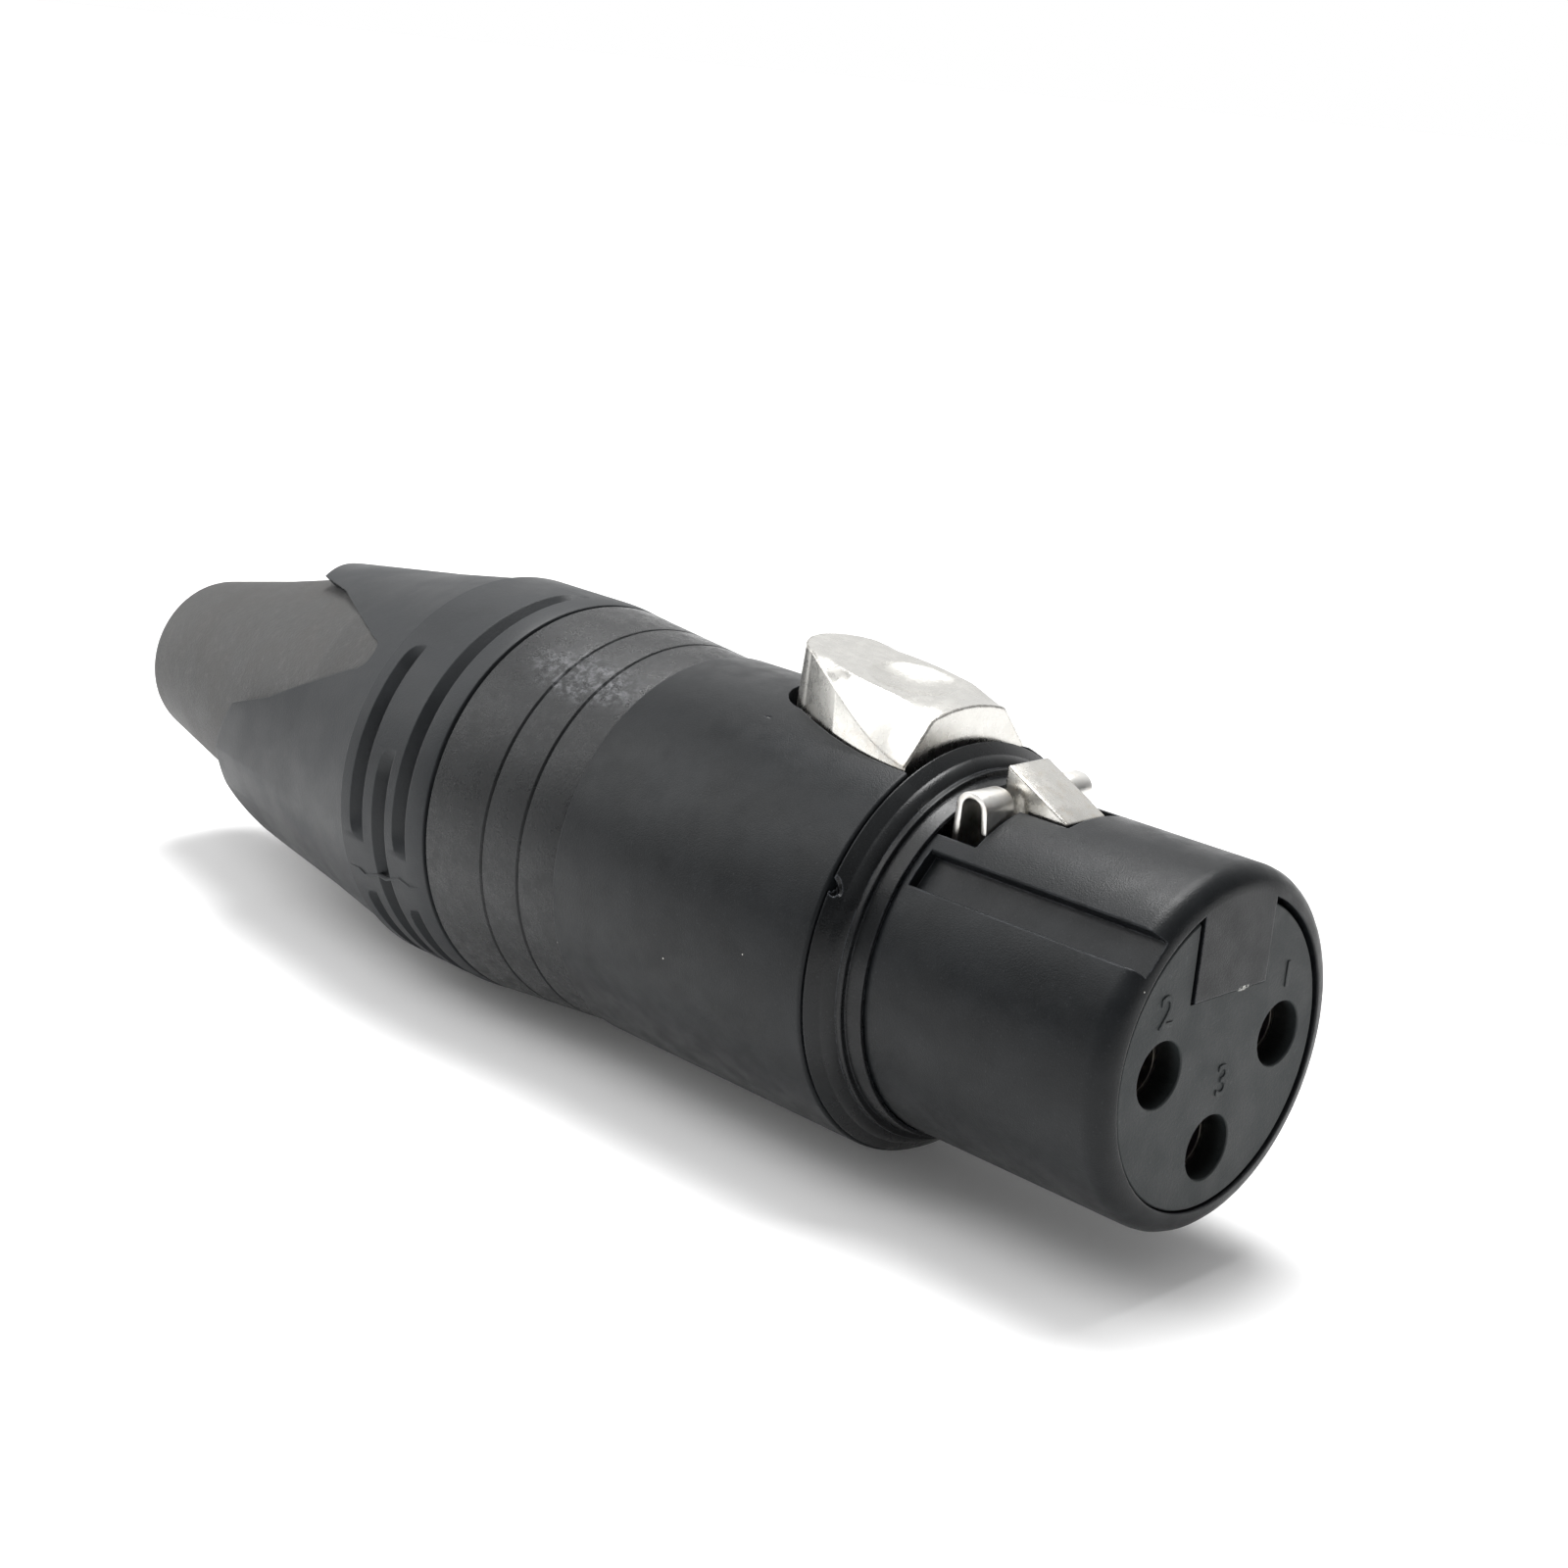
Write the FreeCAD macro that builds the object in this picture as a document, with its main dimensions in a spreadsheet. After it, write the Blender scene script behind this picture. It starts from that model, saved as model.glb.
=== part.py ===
import FreeCAD, Part
import math
import os
from types import SimpleNamespace

import Sketcher

# A female three-pole XLR cable connector, lying on its side with its latch up.
# The axis runs along X and the mating face looks towards +X.
# Each piece is drawn with the mating face at X = 0 and the axis at Z = 0. Its body is
# then placed so that the part is centred and its widest circle stands on Z = 0.
# Stations are distances behind the mating face. Angles are turned about the axis,
# from the top towards the side with Y below zero.

SIZES = {
    "overall_length": (72.8, "mating face to tail end"),
    "socket_circle": (4.12, "radius of the sockets' circle"),
    "socket_mouth": (1.5, "radius of a socket mouth"),
    "socket_lip": (1.2, "thickness of the mouth's lip"),
    "contact_radius": (1.75, "contact, outside"),
    "contact_gap": (0.04, "room round a contact"),
    "contact_bore": (1.25, "bore for the mating pin"),
    "contact_depth": (11.0, "depth of that bore"),
    "collar_height": (0.45, "collar that holds a contact, above it"),
    "collar_length": (0.8, "length of that collar"),
    "cup_radius": (1.45, "solder cup, outside"),
    "cup_wall": (0.4, "wall of the solder cup"),
    "insert_wall": (0.78, "insert outside its contacts"),
    "insert_front": (0.08, "front face of the front insert"),
    "insert_room": (0.15, "room round the inserts in the bore"),
    "insert_gap": (0.2, "room round the key tab"),
    "flange_step": (0.45, "flange of the rear insert above its plug"),
    "flange_length": (1.5, "length of that flange"),
    "flange_room": (0.1, "room round that flange"),
    "skirt_wall": (0.75, "wall of the rear insert's skirt"),
    "skirt_length": (5.0, "length of that skirt"),
    "cup_inset": (1.0, "solder cup starts inside the flange"),
    "cup_short": (0.9, "skirt stands past the solder cups"),
    "barrel_wall": (1.1, "wall of the mating barrel"),
    "rim_round": (1.0, "rounding of the barrel's front edge"),
    "shoulder_station": (14.7, "front face of the housing"),
    "joint_setback": (1.7, "seam of the inserts in front of the shoulder"),
    "step_length": (2.1, "from the tab's end to the step in the bore"),
    "tail_wall": (0.8, "wall of the housing's threaded tail"),
    "thread_step": (0.8, "housing under the marking ring, above the tail"),
    "body_wall": (0.75, "full housing above that"),
    "body_edge": (0.12, "bevel of the housing's front edge"),
    "body_rear": (3.7, "from the step to the full housing's end"),
    "tail_length": (7.5, "threaded tail behind the marking ring"),
    "marking_length": (8.8, "marking ring, front to back"),
    "marking_step": (0.2, "marking ring below the housing at its front"),
    "marking_wall": (1.35, "marking ring's wall at its back"),
    "line_inset": (2.5, "first fine line behind the ring's front"),
    "line_pitch": (2.4, "from the first fine line to the second"),
    "line_width": (0.2, "width of a fine line"),
    "line_depth": (0.12, "depth of a fine line"),
    "key_half": (2.45, "half width of the key tab"),
    "key_floor": (2.7, "key tab's lower face above the axis"),
    "key_room": (1.7, "from the key tab to the hook"),
    "key_root": (0.05, "key tab's root inside the barrel's wall"),
    "keyway_angle": (46.5, "centre of the keyway"),
    "keyway_width": (1.7, "width of the keyway"),
    "keyway_depth": (0.75, "depth of the keyway"),
    "keyway_inset": (0.35, "keyway stops in front of the ring"),
    "hook_length": (3.6, "latch hook, front to back"),
    "hook_half": (1.5, "half width of the hook and arm"),
    "hook_rise": (1.6, "top of the hook above the barrel"),
    "hook_dip": (0.15, "hook's tip below the barrel"),
    "hook_flat": (0.7, "short flat on top of the hook"),
    "hook_round": (0.3, "rounding of the hook's rear corner"),
    "slot_gap": (0.25, "room round the hook in the barrel"),
    "deck_lead": (2.4, "wide slot starts in front of the hook's back"),
    "deck_half": (4.4, "half width of the wide slot"),
    "deck_height": (5.0, "flat on the inserts above the axis"),
    "channel_side": (0.55, "channel outside the arm"),
    "channel_floor": (2.65, "floor of the channel above the axis"),
    "tab_setback": (0.35, "front face of the latch tab behind the shoulder"),
    "tab_length": (9.85, "latch tab, front to back"),
    "tab_front_half": (4.0, "half width of the tab at its front"),
    "tab_round_length": (2.1, "length of the tab's round end"),
    "tab_waist_half": (2.28, "half width of the tab where it starts"),
    "tab_side_round": (19.5, "radius of the tab's long sides"),
    "tab_sink": (0.2, "underside of the tab below the arm's top"),
    "tab_stand": (1.4, "top of the tab above the housing, at its front"),
    "tab_slope": (7.2, "slope of the tab's top, degrees"),
    "facet_low_inset": (0.05, "facet's lower corner inside the tab's side"),
    "facet_low_drop": (2.25, "facet's lower corner below the tab's top"),
    "facet_high_inset": (1.7, "facet's upper corner inside the tab's side"),
    "facet_high_drop": (0.35, "facet's upper corner below the tab's top"),
    "facet_end": (1.6, "facet runs out in front of the tab's end"),
    "facet_shift": (0.3, "facet runs inwards over its length"),
    "facet_rise": (1.5, "facet runs upwards over its length"),
    "facet_margin": (1.0, "facet's cutter past each end and edge"),
    "dimple_place": (3.35, "centre of the thumb dimple behind the tab's front"),
    "dimple_radius": (4.2, "ball radius of the dimple"),
    "dimple_depth": (0.75, "depth of the dimple"),
    "window_gap": (0.16, "clearance round the tab"),
    "pivot_inset": (1.3, "latch pin in front of the tab's end"),
    "pivot_rise": (1.2, "latch pin above the tab's underside"),
    "pin_radius": (0.6, "radius of the latch pin"),
    "pin_half": (3.7, "half length of the latch pin"),
    "pin_gap": (0.03, "running clearance of the latch pin"),
    "arm_drop": (0.7, "top of the arm below the barrel"),
    "arm_thick": (1.6, "thickness of the arm"),
    "arm_reach": (3.4, "arm ends in front of the tab's end"),
    "coil_place": (2.95, "latch spring behind the tab's front"),
    "coil_radius": (1.2, "mean radius of the latch spring"),
    "coil_wire": (0.18, "radius of its wire"),
    "coil_turns": (4.0, "turns of the latch spring"),
    "seat_gap": (0.02, "room between seated pieces"),
    "spring_sheet": (0.25, "sheet of the ground spring"),
    "spring_side": (0.3, "its wings stop inside the wide slot"),
    "wing_inset": (0.35, "its wings stand clear of the hook"),
    "wing_room": (0.7, "wing behind the hook"),
    "wing_round": (1.38, "outside radius of a wing's curl"),
    "wing_drop": (0.15, "centre of the curl below the barrel"),
    "wing_tuck": (1.0, "how far the curl's end tucks back"),
    "wing_tail": (1.25, "curl's end below its centre"),
    "saddle_inset": (0.3, "rear edge of the ground spring"),
    "ring_back_gap": (0.06, "seam between ring and housing"),
    "ring_bore_gap": (0.05, "room between ring and barrel"),
    "ring_step": (0.05, "shoulder ring below the housing"),
    "ring_band": (0.55, "its front bevel"),
    "ring_hollow": (0.88, "radius of the hollow behind its lip"),
    "lip_setback": (1.4, "its inner lip in front of the shoulder"),
    "lip_rise": (0.6, "its inner lip above the barrel"),
    "lip_width": (0.28, "width of its inner lip"),
    "ring_collar": (2.2, "its inner collar in front of the shoulder"),
    "ring_collar_rise": (0.22, "its inner collar above the barrel"),
    "ring_wing_gap": (0.2, "room between collar and ground spring"),
    "chuck_room": (0.1, "room round the cable chuck"),
    "chuck_seat": (0.05, "room between rear insert and chuck"),
    "chuck_wall": (0.8, "chuck's wall in front of its jaws"),
    "chuck_neck": (4.45, "chuck in front of its jaws"),
    "chuck_cone": (1.5, "its cone starts inside the tail"),
    "chuck_length": (2.4, "its end behind the boot's thread"),
    "chuck_fall": (1.5, "rear end of its cone below its outside"),
    "chuck_bore_room": (0.6, "open jaws round the cable"),
    "chuck_slot": (1.1, "width of a slot between jaws"),
    "chuck_jaws": (6.0, "number of jaws"),
    "skirt_edge": (0.15, "widest circle of the boot above its front"),
    "belly_length": (1.5, "from the boot's front to its widest circle"),
    "grip_length": (5.5, "from the boot's front to its taper"),
    "boot_bore_gap": (0.08, "room round the threaded tail"),
    "throat_gap": (0.6, "boot's thread runs past the tail"),
    "petal_half_length": (7.0, "from the taper to the petals' middle"),
    "petal_tip_length": (9.0, "from there to the petals' tips"),
    "petal_mid_fall": (1.05, "petals' middle below the boot's widest circle"),
    "petal_tip_fall": (2.25, "petals' tips below it"),
    "petal_wall": (1.5, "thickness of a petal"),
    "valley_angle": (49.0, "centre of a valley between petals"),
    "valley_start": (0.3, "deepest point of a valley behind the thread"),
    "valley_round": (1.0, "rounding of its bottom"),
    "valley_waist": (7.5, "from there to the valley's waist"),
    "valley_mid_half": (3.54, "half width at the waist"),
    "valley_flare": (2.0, "valley's shoulder in front of the tips"),
    "valley_lobe_half": (4.3, "half width at the shoulder"),
    "valley_end_half": (6.6, "half width past the petal tips"),
    "slot_width": (0.9, "width of the grip slots"),
    "slot_depth": (0.9, "depth of the grip slots"),
    "slot_inset": (1.8, "first row of slots behind the boot's front"),
    "slot_pitch": (1.75, "from one row of slots to the next"),
    "slot_long": (107.0, "length of first and third row, degrees"),
    "slot_short": (77.0, "length of the second row, degrees"),
    "sleeve_sink": (0.05, "rubber below the hard petals"),
    "sleeve_tip": (6.8, "from the rubber's knee to the tail end"),
    "sleeve_knee_wall": (2.35, "rubber's wall at its knee"),
    "sleeve_wall": (0.95, "rubber's wall at the tail end"),
    "sleeve_end_round": (0.7, "rounding of the tail end"),
    "cable_radius": (3.6, "bore for the cable"),
    "throat_length": (6.4, "boot's inner cone behind the thread"),
}

doc = FreeCAD.newDocument("xlr_connector")
sheet = doc.addObject("Spreadsheet::Sheet", "Sizes")
for row, (alias, (number, note)) in enumerate(SIZES.items(), start=1):
    sheet.set(f"A{row}", alias)
    sheet.set(f"B{row}", str(number))
    sheet.setAlias(f"B{row}", alias)
    sheet.set(f"C{row}", note)
doc.recompute()


class Size:
    """A sheet value, or a sum made of them: its number and its expression."""

    def __init__(self, text, value):
        self.text = text
        self.value = value

    def __add__(self, other):
        other = as_size(other)
        return Size(f"({self.text} + {other.text})", self.value + other.value)

    def __sub__(self, other):
        other = as_size(other)
        return Size(f"({self.text} - {other.text})", self.value - other.value)

    def __mul__(self, factor):
        factor = as_size(factor)
        return Size(f"({self.text} * {factor.text})", self.value * factor.value)

    def __truediv__(self, other):
        other = as_size(other)
        return Size(f"({self.text} / {other.text})", self.value / other.value)

    def __neg__(self):
        return Size(f"(-1 * {self.text})", -self.value)


def as_size(number):
    """A plain number as a Size."""
    if isinstance(number, Size):
        return number
    return Size(repr(float(number)), float(number))


def slope(angle):
    """The rise of one unit along a line at this angle."""
    return Size(f"tan({angle.text})", math.tan(math.radians(angle.value)))


def hypot_side(long_side, short_side):
    """The other side of a right-angled triangle."""
    value = math.sqrt(long_side.value ** 2 - short_side.value ** 2)
    return Size(f"sqrt({long_side.text}^2 - {short_side.text}^2)", value)


size = SimpleNamespace(**{alias: Size(f"Sizes.{alias}", sheet.get(alias)) for alias in SIZES})
ZERO = as_size(0)
PETALS = as_size(3)
THIRD = as_size(360) / PETALS

# Radii from the contacts outwards
size.collar_radius = size.contact_radius + size.collar_height
size.cup_bore = size.cup_radius - size.cup_wall
size.insert_radius = size.socket_circle + size.contact_radius + size.insert_wall
size.front_bore_radius = size.insert_radius + size.insert_room
size.barrel_radius = size.front_bore_radius + size.barrel_wall
size.flange_radius = size.insert_radius + size.flange_step
size.skirt_radius = size.flange_radius - size.skirt_wall
size.rear_bore_radius = size.flange_radius + size.flange_room
size.tail_radius = size.rear_bore_radius + size.tail_wall
size.spigot_radius = size.tail_radius + size.thread_step
size.body_radius = size.spigot_radius + size.body_wall
size.marking_front_radius = size.body_radius - size.marking_step
size.marking_back_radius = size.spigot_radius + size.marking_wall
size.boot_radius = size.marking_back_radius + size.skirt_edge
size.petal_mid_radius = size.boot_radius - size.petal_mid_fall
size.petal_back_radius = size.boot_radius - size.petal_tip_fall
size.ring_radius = size.body_radius - size.ring_step
size.lip_radius = size.barrel_radius + size.lip_rise
size.collar_top = size.barrel_radius + size.ring_collar_rise
size.chuck_radius = size.rear_bore_radius - size.chuck_room
size.chuck_hollow = size.chuck_radius - size.chuck_wall
size.chuck_end_radius = size.chuck_radius - size.chuck_fall
size.chuck_bore = size.cable_radius + size.chuck_bore_room
size.sleeve_knee_radius = size.cable_radius + size.sleeve_knee_wall
size.sleeve_end_radius = size.cable_radius + size.sleeve_wall

# Stations from the shoulder forwards
size.lip_station = size.shoulder_station - size.lip_setback
size.collar_station = size.shoulder_station - size.ring_collar
size.insert_joint = size.shoulder_station - size.joint_setback
size.saddle_back = size.shoulder_station - size.saddle_inset
size.keyway_back = size.collar_station - size.keyway_inset
size.wing_back = size.collar_station - size.ring_wing_gap
size.hook_back = size.wing_back - size.wing_room
size.hook_front = size.hook_back - size.hook_length
size.deck_front = size.hook_back - size.deck_lead
size.key_depth = size.hook_front - size.key_room

# Stations from the shoulder backwards
size.tab_front = size.shoulder_station + size.tab_setback
size.tab_end = size.tab_front + size.tab_length
size.tab_waist = size.tab_end - size.tab_round_length
size.facet_back = size.tab_end - size.facet_end
size.dimple_station = size.tab_front + size.dimple_place
size.pivot_station = size.tab_end - size.pivot_inset
size.arm_back = size.tab_end - size.arm_reach
size.coil_station = size.tab_front + size.coil_place
size.step_station = size.tab_end + size.step_length
size.flange_back = size.step_station + size.flange_length
size.skirt_back = size.flange_back + size.skirt_length
size.cup_front = size.flange_back - size.cup_inset
size.cup_back = size.skirt_back - size.cup_short
size.body_back = size.step_station + size.body_rear
size.line_front = size.body_back + size.line_inset
size.line_back = size.line_front + size.line_pitch
size.marking_back = size.body_back + size.marking_length
size.tail_back = size.marking_back + size.tail_length
size.boot_belly = size.marking_back + size.belly_length
size.boot_taper = size.marking_back + size.grip_length
size.slot_front = size.marking_back + size.slot_inset
size.slot_middle = size.slot_front + size.slot_pitch
size.slot_back = size.slot_middle + size.slot_pitch
size.boot_throat = size.tail_back + size.throat_gap
size.petal_mid = size.boot_taper + size.petal_half_length
size.petal_back = size.petal_mid + size.petal_tip_length
size.valley_front = size.boot_throat + size.valley_start
size.valley_mid = size.valley_front + size.valley_waist
size.valley_lobe = size.petal_back - size.valley_flare
size.chuck_front = size.skirt_back + size.chuck_seat
size.chuck_jaw = size.chuck_front + size.chuck_neck
size.chuck_shoulder = size.tail_back - size.chuck_cone
size.chuck_back = size.boot_throat + size.chuck_length
size.throat_back = size.boot_throat + size.throat_length
size.sleeve_knee = size.overall_length - size.sleeve_tip

# Heights and half widths of the latch and the ground spring
size.hook_top = size.barrel_radius + size.hook_rise
size.hook_nose = size.barrel_radius - size.hook_dip
size.arm_top = size.barrel_radius - size.arm_drop
size.arm_floor = size.arm_top - size.arm_thick
size.tab_floor = size.arm_top - size.tab_sink
size.tab_front_top = size.body_radius + size.tab_stand
size.pivot_height = size.tab_floor + size.pivot_rise
size.channel_half = size.hook_half + size.channel_side
size.spring_half = size.deck_half - size.spring_side
size.wing_inner = size.hook_half + size.wing_inset
size.wing_centre = size.barrel_radius - size.wing_drop
size.wing_end = size.wing_centre - size.wing_tail
size.facet_low_half = size.tab_front_half - size.facet_low_inset
size.facet_low_top = size.tab_front_top - size.facet_low_drop
size.facet_high_half = size.tab_front_half - size.facet_high_inset
size.facet_high_top = size.tab_front_top - size.facet_high_drop

X_AXIS = FreeCAD.Vector(1, 0, 0)
Z_AXIS = FreeCAD.Vector(0, 0, 1)
PIECES = []
CUTS = []


def bind(thing, name, value):
    """Bind a property to its expression."""
    thing.setExpression(name, as_size(value).text)


def new_body(label, side=ZERO, lift=ZERO):
    """A body placed in the part's frame, shifted off the axis where asked."""
    body = doc.addObject("PartDesign::Body", label)
    body.Label = label
    bind(body, "Placement.Base.x", size.overall_length / 2)
    bind(body, "Placement.Base.y", side)
    bind(body, "Placement.Base.z", size.boot_radius + lift)
    PIECES.append(body)
    return body


def new_sketch(body, name, role, angle=None, shift=None):
    """A sketch on an origin plane, turned about the connector's axis or shifted."""
    sketch = body.newObject("Sketcher::SketchObject", f"{body.Label}_{name}")
    plane = [item for item in body.Origin.OriginFeatures if item.Role == role][0]
    sketch.AttachmentSupport = [(plane, "")]
    sketch.MapMode = "FlatFace"
    if angle is not None:
        axis = Z_AXIS if role == "YZ_Plane" else X_AXIS
        turned = FreeCAD.Rotation(axis, as_size(angle).value)
        sketch.AttachmentOffset = FreeCAD.Placement(FreeCAD.Vector(), turned)
        bind(sketch, "AttachmentOffset.Rotation.Angle", angle)
    if shift is not None:
        bind(sketch, "AttachmentOffset.Base.z", shift)
    return sketch


def pin_point(sketch, geometry, end, x, y):
    """Fix one point of the sketch at a place given by expressions."""
    for kind, value in (("DistanceX", as_size(x)), ("DistanceY", as_size(y))):
        rule = Sketcher.Constraint(kind, -1, 1, geometry, end, value.value)
        number = sketch.addConstraint(rule)
        sketch.setExpression(f"Constraints[{number}]", value.text)


def flat(x, y):
    """A point of a sketch plane."""
    return FreeCAD.Vector(as_size(x).value, as_size(y).value, 0)


def arc_between(start, end, radius):
    """The short arc from start to end. A radius above zero turns it to the left."""
    chord = end - start
    half = chord.Length / 2
    away = math.sqrt(max(radius * radius - half * half, 0.0))
    left = FreeCAD.Vector(-chord.y, chord.x, 0).normalize()
    centre = (start + end) * 0.5 + left * (away if radius > 0 else -away)
    first, last = (start, end) if radius > 0 else (end, start)
    angles = [math.atan2(p.y - centre.y, p.x - centre.x) for p in (first, last)]
    circle = Part.Circle(centre, Z_AXIS, abs(radius))
    return Part.ArcOfCircle(circle, angles[0], angles[1])


def outline(sketch, steps):
    """Draw a closed outline. A step is (x, y), or (x, y, radius) for an arc to it."""
    ends = []
    for number, step in enumerate(steps):
        start = flat(*steps[number - 1][:2])
        end = flat(*step[:2])
        if len(step) == 3:
            radius = as_size(step[2])
            edge = sketch.addGeometry(arc_between(start, end, radius.value), False)
            rule = Sketcher.Constraint("Radius", edge, abs(radius.value))
            bound = sketch.addConstraint(rule)
            signed = radius if radius.value > 0 else -radius
            sketch.setExpression(f"Constraints[{bound}]", signed.text)
            ends.append((edge, 1, 2) if radius.value > 0 else (edge, 2, 1))
        else:
            edge = sketch.addGeometry(Part.LineSegment(start, end), False)
            ends.append((edge, 1, 2))
    for number, step in enumerate(steps):
        edge, _, last = ends[number]
        following, first, _ = ends[(number + 1) % len(steps)]
        sketch.addConstraint(Sketcher.Constraint("Coincident", edge, last, following, first))
        pin_point(sketch, edge, last, step[0], step[1])
    return sketch


def disc(sketch, x, y, radius):
    """Draw a full circle."""
    circle = Part.Circle(flat(x, y), Z_AXIS, as_size(radius).value)
    edge = sketch.addGeometry(circle, False)
    bound = sketch.addConstraint(Sketcher.Constraint("Radius", edge, as_size(radius).value))
    sketch.setExpression(f"Constraints[{bound}]", as_size(radius).text)
    pin_point(sketch, edge, 3, x, y)
    return sketch


def revolve(body, name, sketch):
    """Turn a half section about the connector's axis."""
    feature = body.newObject("PartDesign::Revolution", f"{body.Label}_{name}")
    feature.Profile = sketch
    feature.ReferenceAxis = (sketch, ["H_Axis"])
    feature.Angle = 360
    return feature


def turned_slot(body, name, sketch, degrees):
    """Cut a groove over part of a turn, centred on its sketch."""
    feature = body.newObject("PartDesign::Groove", f"{body.Label}_{name}")
    feature.Profile = sketch
    feature.ReferenceAxis = (sketch, ["H_Axis"])
    feature.Midplane = True
    bind(feature, "Angle", degrees)
    CUTS.append(feature)
    return feature


def pad(body, name, sketch, length, backward=False, both=False):
    """Pad a sketch, along its normal unless told backward or both ways."""
    feature = body.newObject("PartDesign::Pad", f"{body.Label}_{name}")
    feature.Profile = sketch
    feature.Reversed = backward
    if both:
        feature.SideType = "Symmetric"
    bind(feature, "Length", length)
    return feature


def pocket(body, name, sketch, length=None, forward=False, both=False):
    """Cut a sketch against its normal unless told forward or both ways."""
    feature = body.newObject("PartDesign::Pocket", f"{body.Label}_{name}")
    feature.Profile = sketch
    feature.Reversed = forward
    if both:
        feature.SideType = "Symmetric"
    if length is None:
        feature.Type = "ThroughAll"
    else:
        bind(feature, "Length", length)
    CUTS.append(feature)
    return feature


def repeat(body, name, features, count):
    """Repeat features round the connector's axis."""
    feature = body.newObject("PartDesign::PolarPattern", f"{body.Label}_{name}")
    feature.Originals = features
    axis = [item for item in body.Origin.OriginFeatures if item.Role == "X_Axis"][0]
    feature.Axis = (axis, [""])
    feature.Angle = 360
    bind(feature, "Occurrences", count)
    body.Tip = feature
    return feature


def mirror(body, name, features):
    """Mirror features to the other side of the connector's middle plane."""
    feature = body.newObject("PartDesign::Mirrored", f"{body.Label}_{name}")
    feature.Originals = features
    plane = [item for item in body.Origin.OriginFeatures if item.Role == "XZ_Plane"][0]
    feature.MirrorPlane = (plane, [""])
    body.Tip = feature
    return feature


def circle_edges(feature, station, radius):
    """Names of the feature's full circles at this station with this radius."""
    doc.recompute()
    names = []
    for number, edge in enumerate(feature.Shape.Edges, start=1):
        round_edge = isinstance(edge.Curve, Part.Circle)
        if not round_edge or abs(edge.Curve.Radius - radius.value) > 1e-4:
            continue
        if abs(edge.Curve.Center.x + station.value) < 1e-4:
            names.append(f"Edge{number}")
    return names


def fillet(body, name, feature, edges, radius):
    """Round the named edges of a feature."""
    result = body.newObject("PartDesign::Fillet", f"{body.Label}_{name}")
    result.Base = (feature, edges)
    bind(result, "Radius", radius)
    return result


def box_steps(back, front, half):
    """A rectangle in plan, from one station to another, on both sides of the axis."""
    back, front, half = (as_size(value) for value in (back, front, half))
    return [(-back, -half), (-front, -half), (-front, half), (-back, half)]


def block_steps(half, low, high):
    """A rectangle across the axis, between two heights."""
    half, low, high = (as_size(value) for value in (half, low, high))
    return [(-half, low), (half, low), (half, high), (-half, high)]


def tab_plan(grow, front):
    """The latch tab seen from above, grown by a clearance."""
    front_half = size.tab_front_half + grow
    waist_half = size.tab_waist_half + grow
    end = size.tab_end + grow
    depth = end - size.tab_waist
    end_round = (depth * depth + waist_half * waist_half) / (depth * 2)
    return [
        (-front, front_half),
        (-size.tab_waist, waist_half, size.tab_side_round),
        (-end, ZERO, end_round),
        (-size.tab_waist, -waist_half, end_round),
        (-front, -front_half, size.tab_side_round),
    ]


def make_shell():
    """Die-cast housing with the mating barrel, its key tab and the threaded tail."""
    body = new_body("shell")
    half_section = [
        (ZERO, size.front_bore_radius),
        (ZERO, size.barrel_radius),
        (-size.shoulder_station, size.barrel_radius),
        (-size.shoulder_station, size.body_radius - size.body_edge),
        (-(size.shoulder_station + size.body_edge), size.body_radius),
        (-size.body_back, size.body_radius),
        (-size.body_back, size.spigot_radius),
        (-size.marking_back, size.spigot_radius),
        (-size.marking_back, size.tail_radius),
        (-size.tail_back, size.tail_radius),
        (-size.tail_back, size.rear_bore_radius),
        (-size.step_station, size.rear_bore_radius),
        (-size.step_station, size.front_bore_radius),
    ]
    section = outline(new_sketch(body, "section", "XZ_Plane"), half_section)
    revolve(body, "blank", section)
    key_top = hypot_side(size.front_bore_radius + size.key_root, size.key_half)
    key_steps = [
        (-size.key_half, key_top),
        (-size.key_half, size.key_floor),
        (size.key_half, size.key_floor),
        (size.key_half, key_top),
    ]
    key_steps[0] = key_steps[0] + (size.front_bore_radius + size.key_root,)
    key = outline(new_sketch(body, "key_face", "YZ_Plane"), key_steps)
    tab = pad(body, "key_tab", key, size.key_depth, backward=True)
    rim = circle_edges(tab, ZERO, size.barrel_radius)
    fillet(body, "rim", tab, rim, size.rim_round)
    keyway = block_steps(
        size.keyway_width / 2,
        size.barrel_radius - size.keyway_depth,
        size.barrel_radius + size.keyway_depth,
    )
    keyway_face = new_sketch(body, "keyway_face", "YZ_Plane", angle=size.keyway_angle)
    pocket(body, "keyway", outline(keyway_face, keyway), size.keyway_back)
    hook_slot = box_steps(
        size.deck_front + size.slot_gap,
        size.hook_front - size.slot_gap,
        size.hook_half + size.slot_gap,
    )
    slot = outline(new_sketch(body, "hook_slot_plan", "XY_Plane"), hook_slot)
    pocket(body, "hook_slot", slot, forward=True)
    deck_slot = box_steps(size.shoulder_station, size.deck_front, size.deck_half)
    deck = outline(new_sketch(body, "deck_slot_plan", "XY_Plane"), deck_slot)
    pocket(body, "deck_slot", deck, size.barrel_radius + size.ring_bore_gap, forward=True)
    window = tab_plan(size.window_gap, size.shoulder_station)
    opening = outline(new_sketch(body, "window_plan", "XY_Plane"), window)
    pocket(body, "window", opening, forward=True)
    hole = new_sketch(body, "pin_hole_plan", "XZ_Plane")
    disc(hole, -size.pivot_station, size.pivot_height, size.pin_radius + size.seat_gap)
    pocket(body, "pin_hole", hole, (size.pin_half + size.seat_gap) * 2, both=True)


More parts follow.
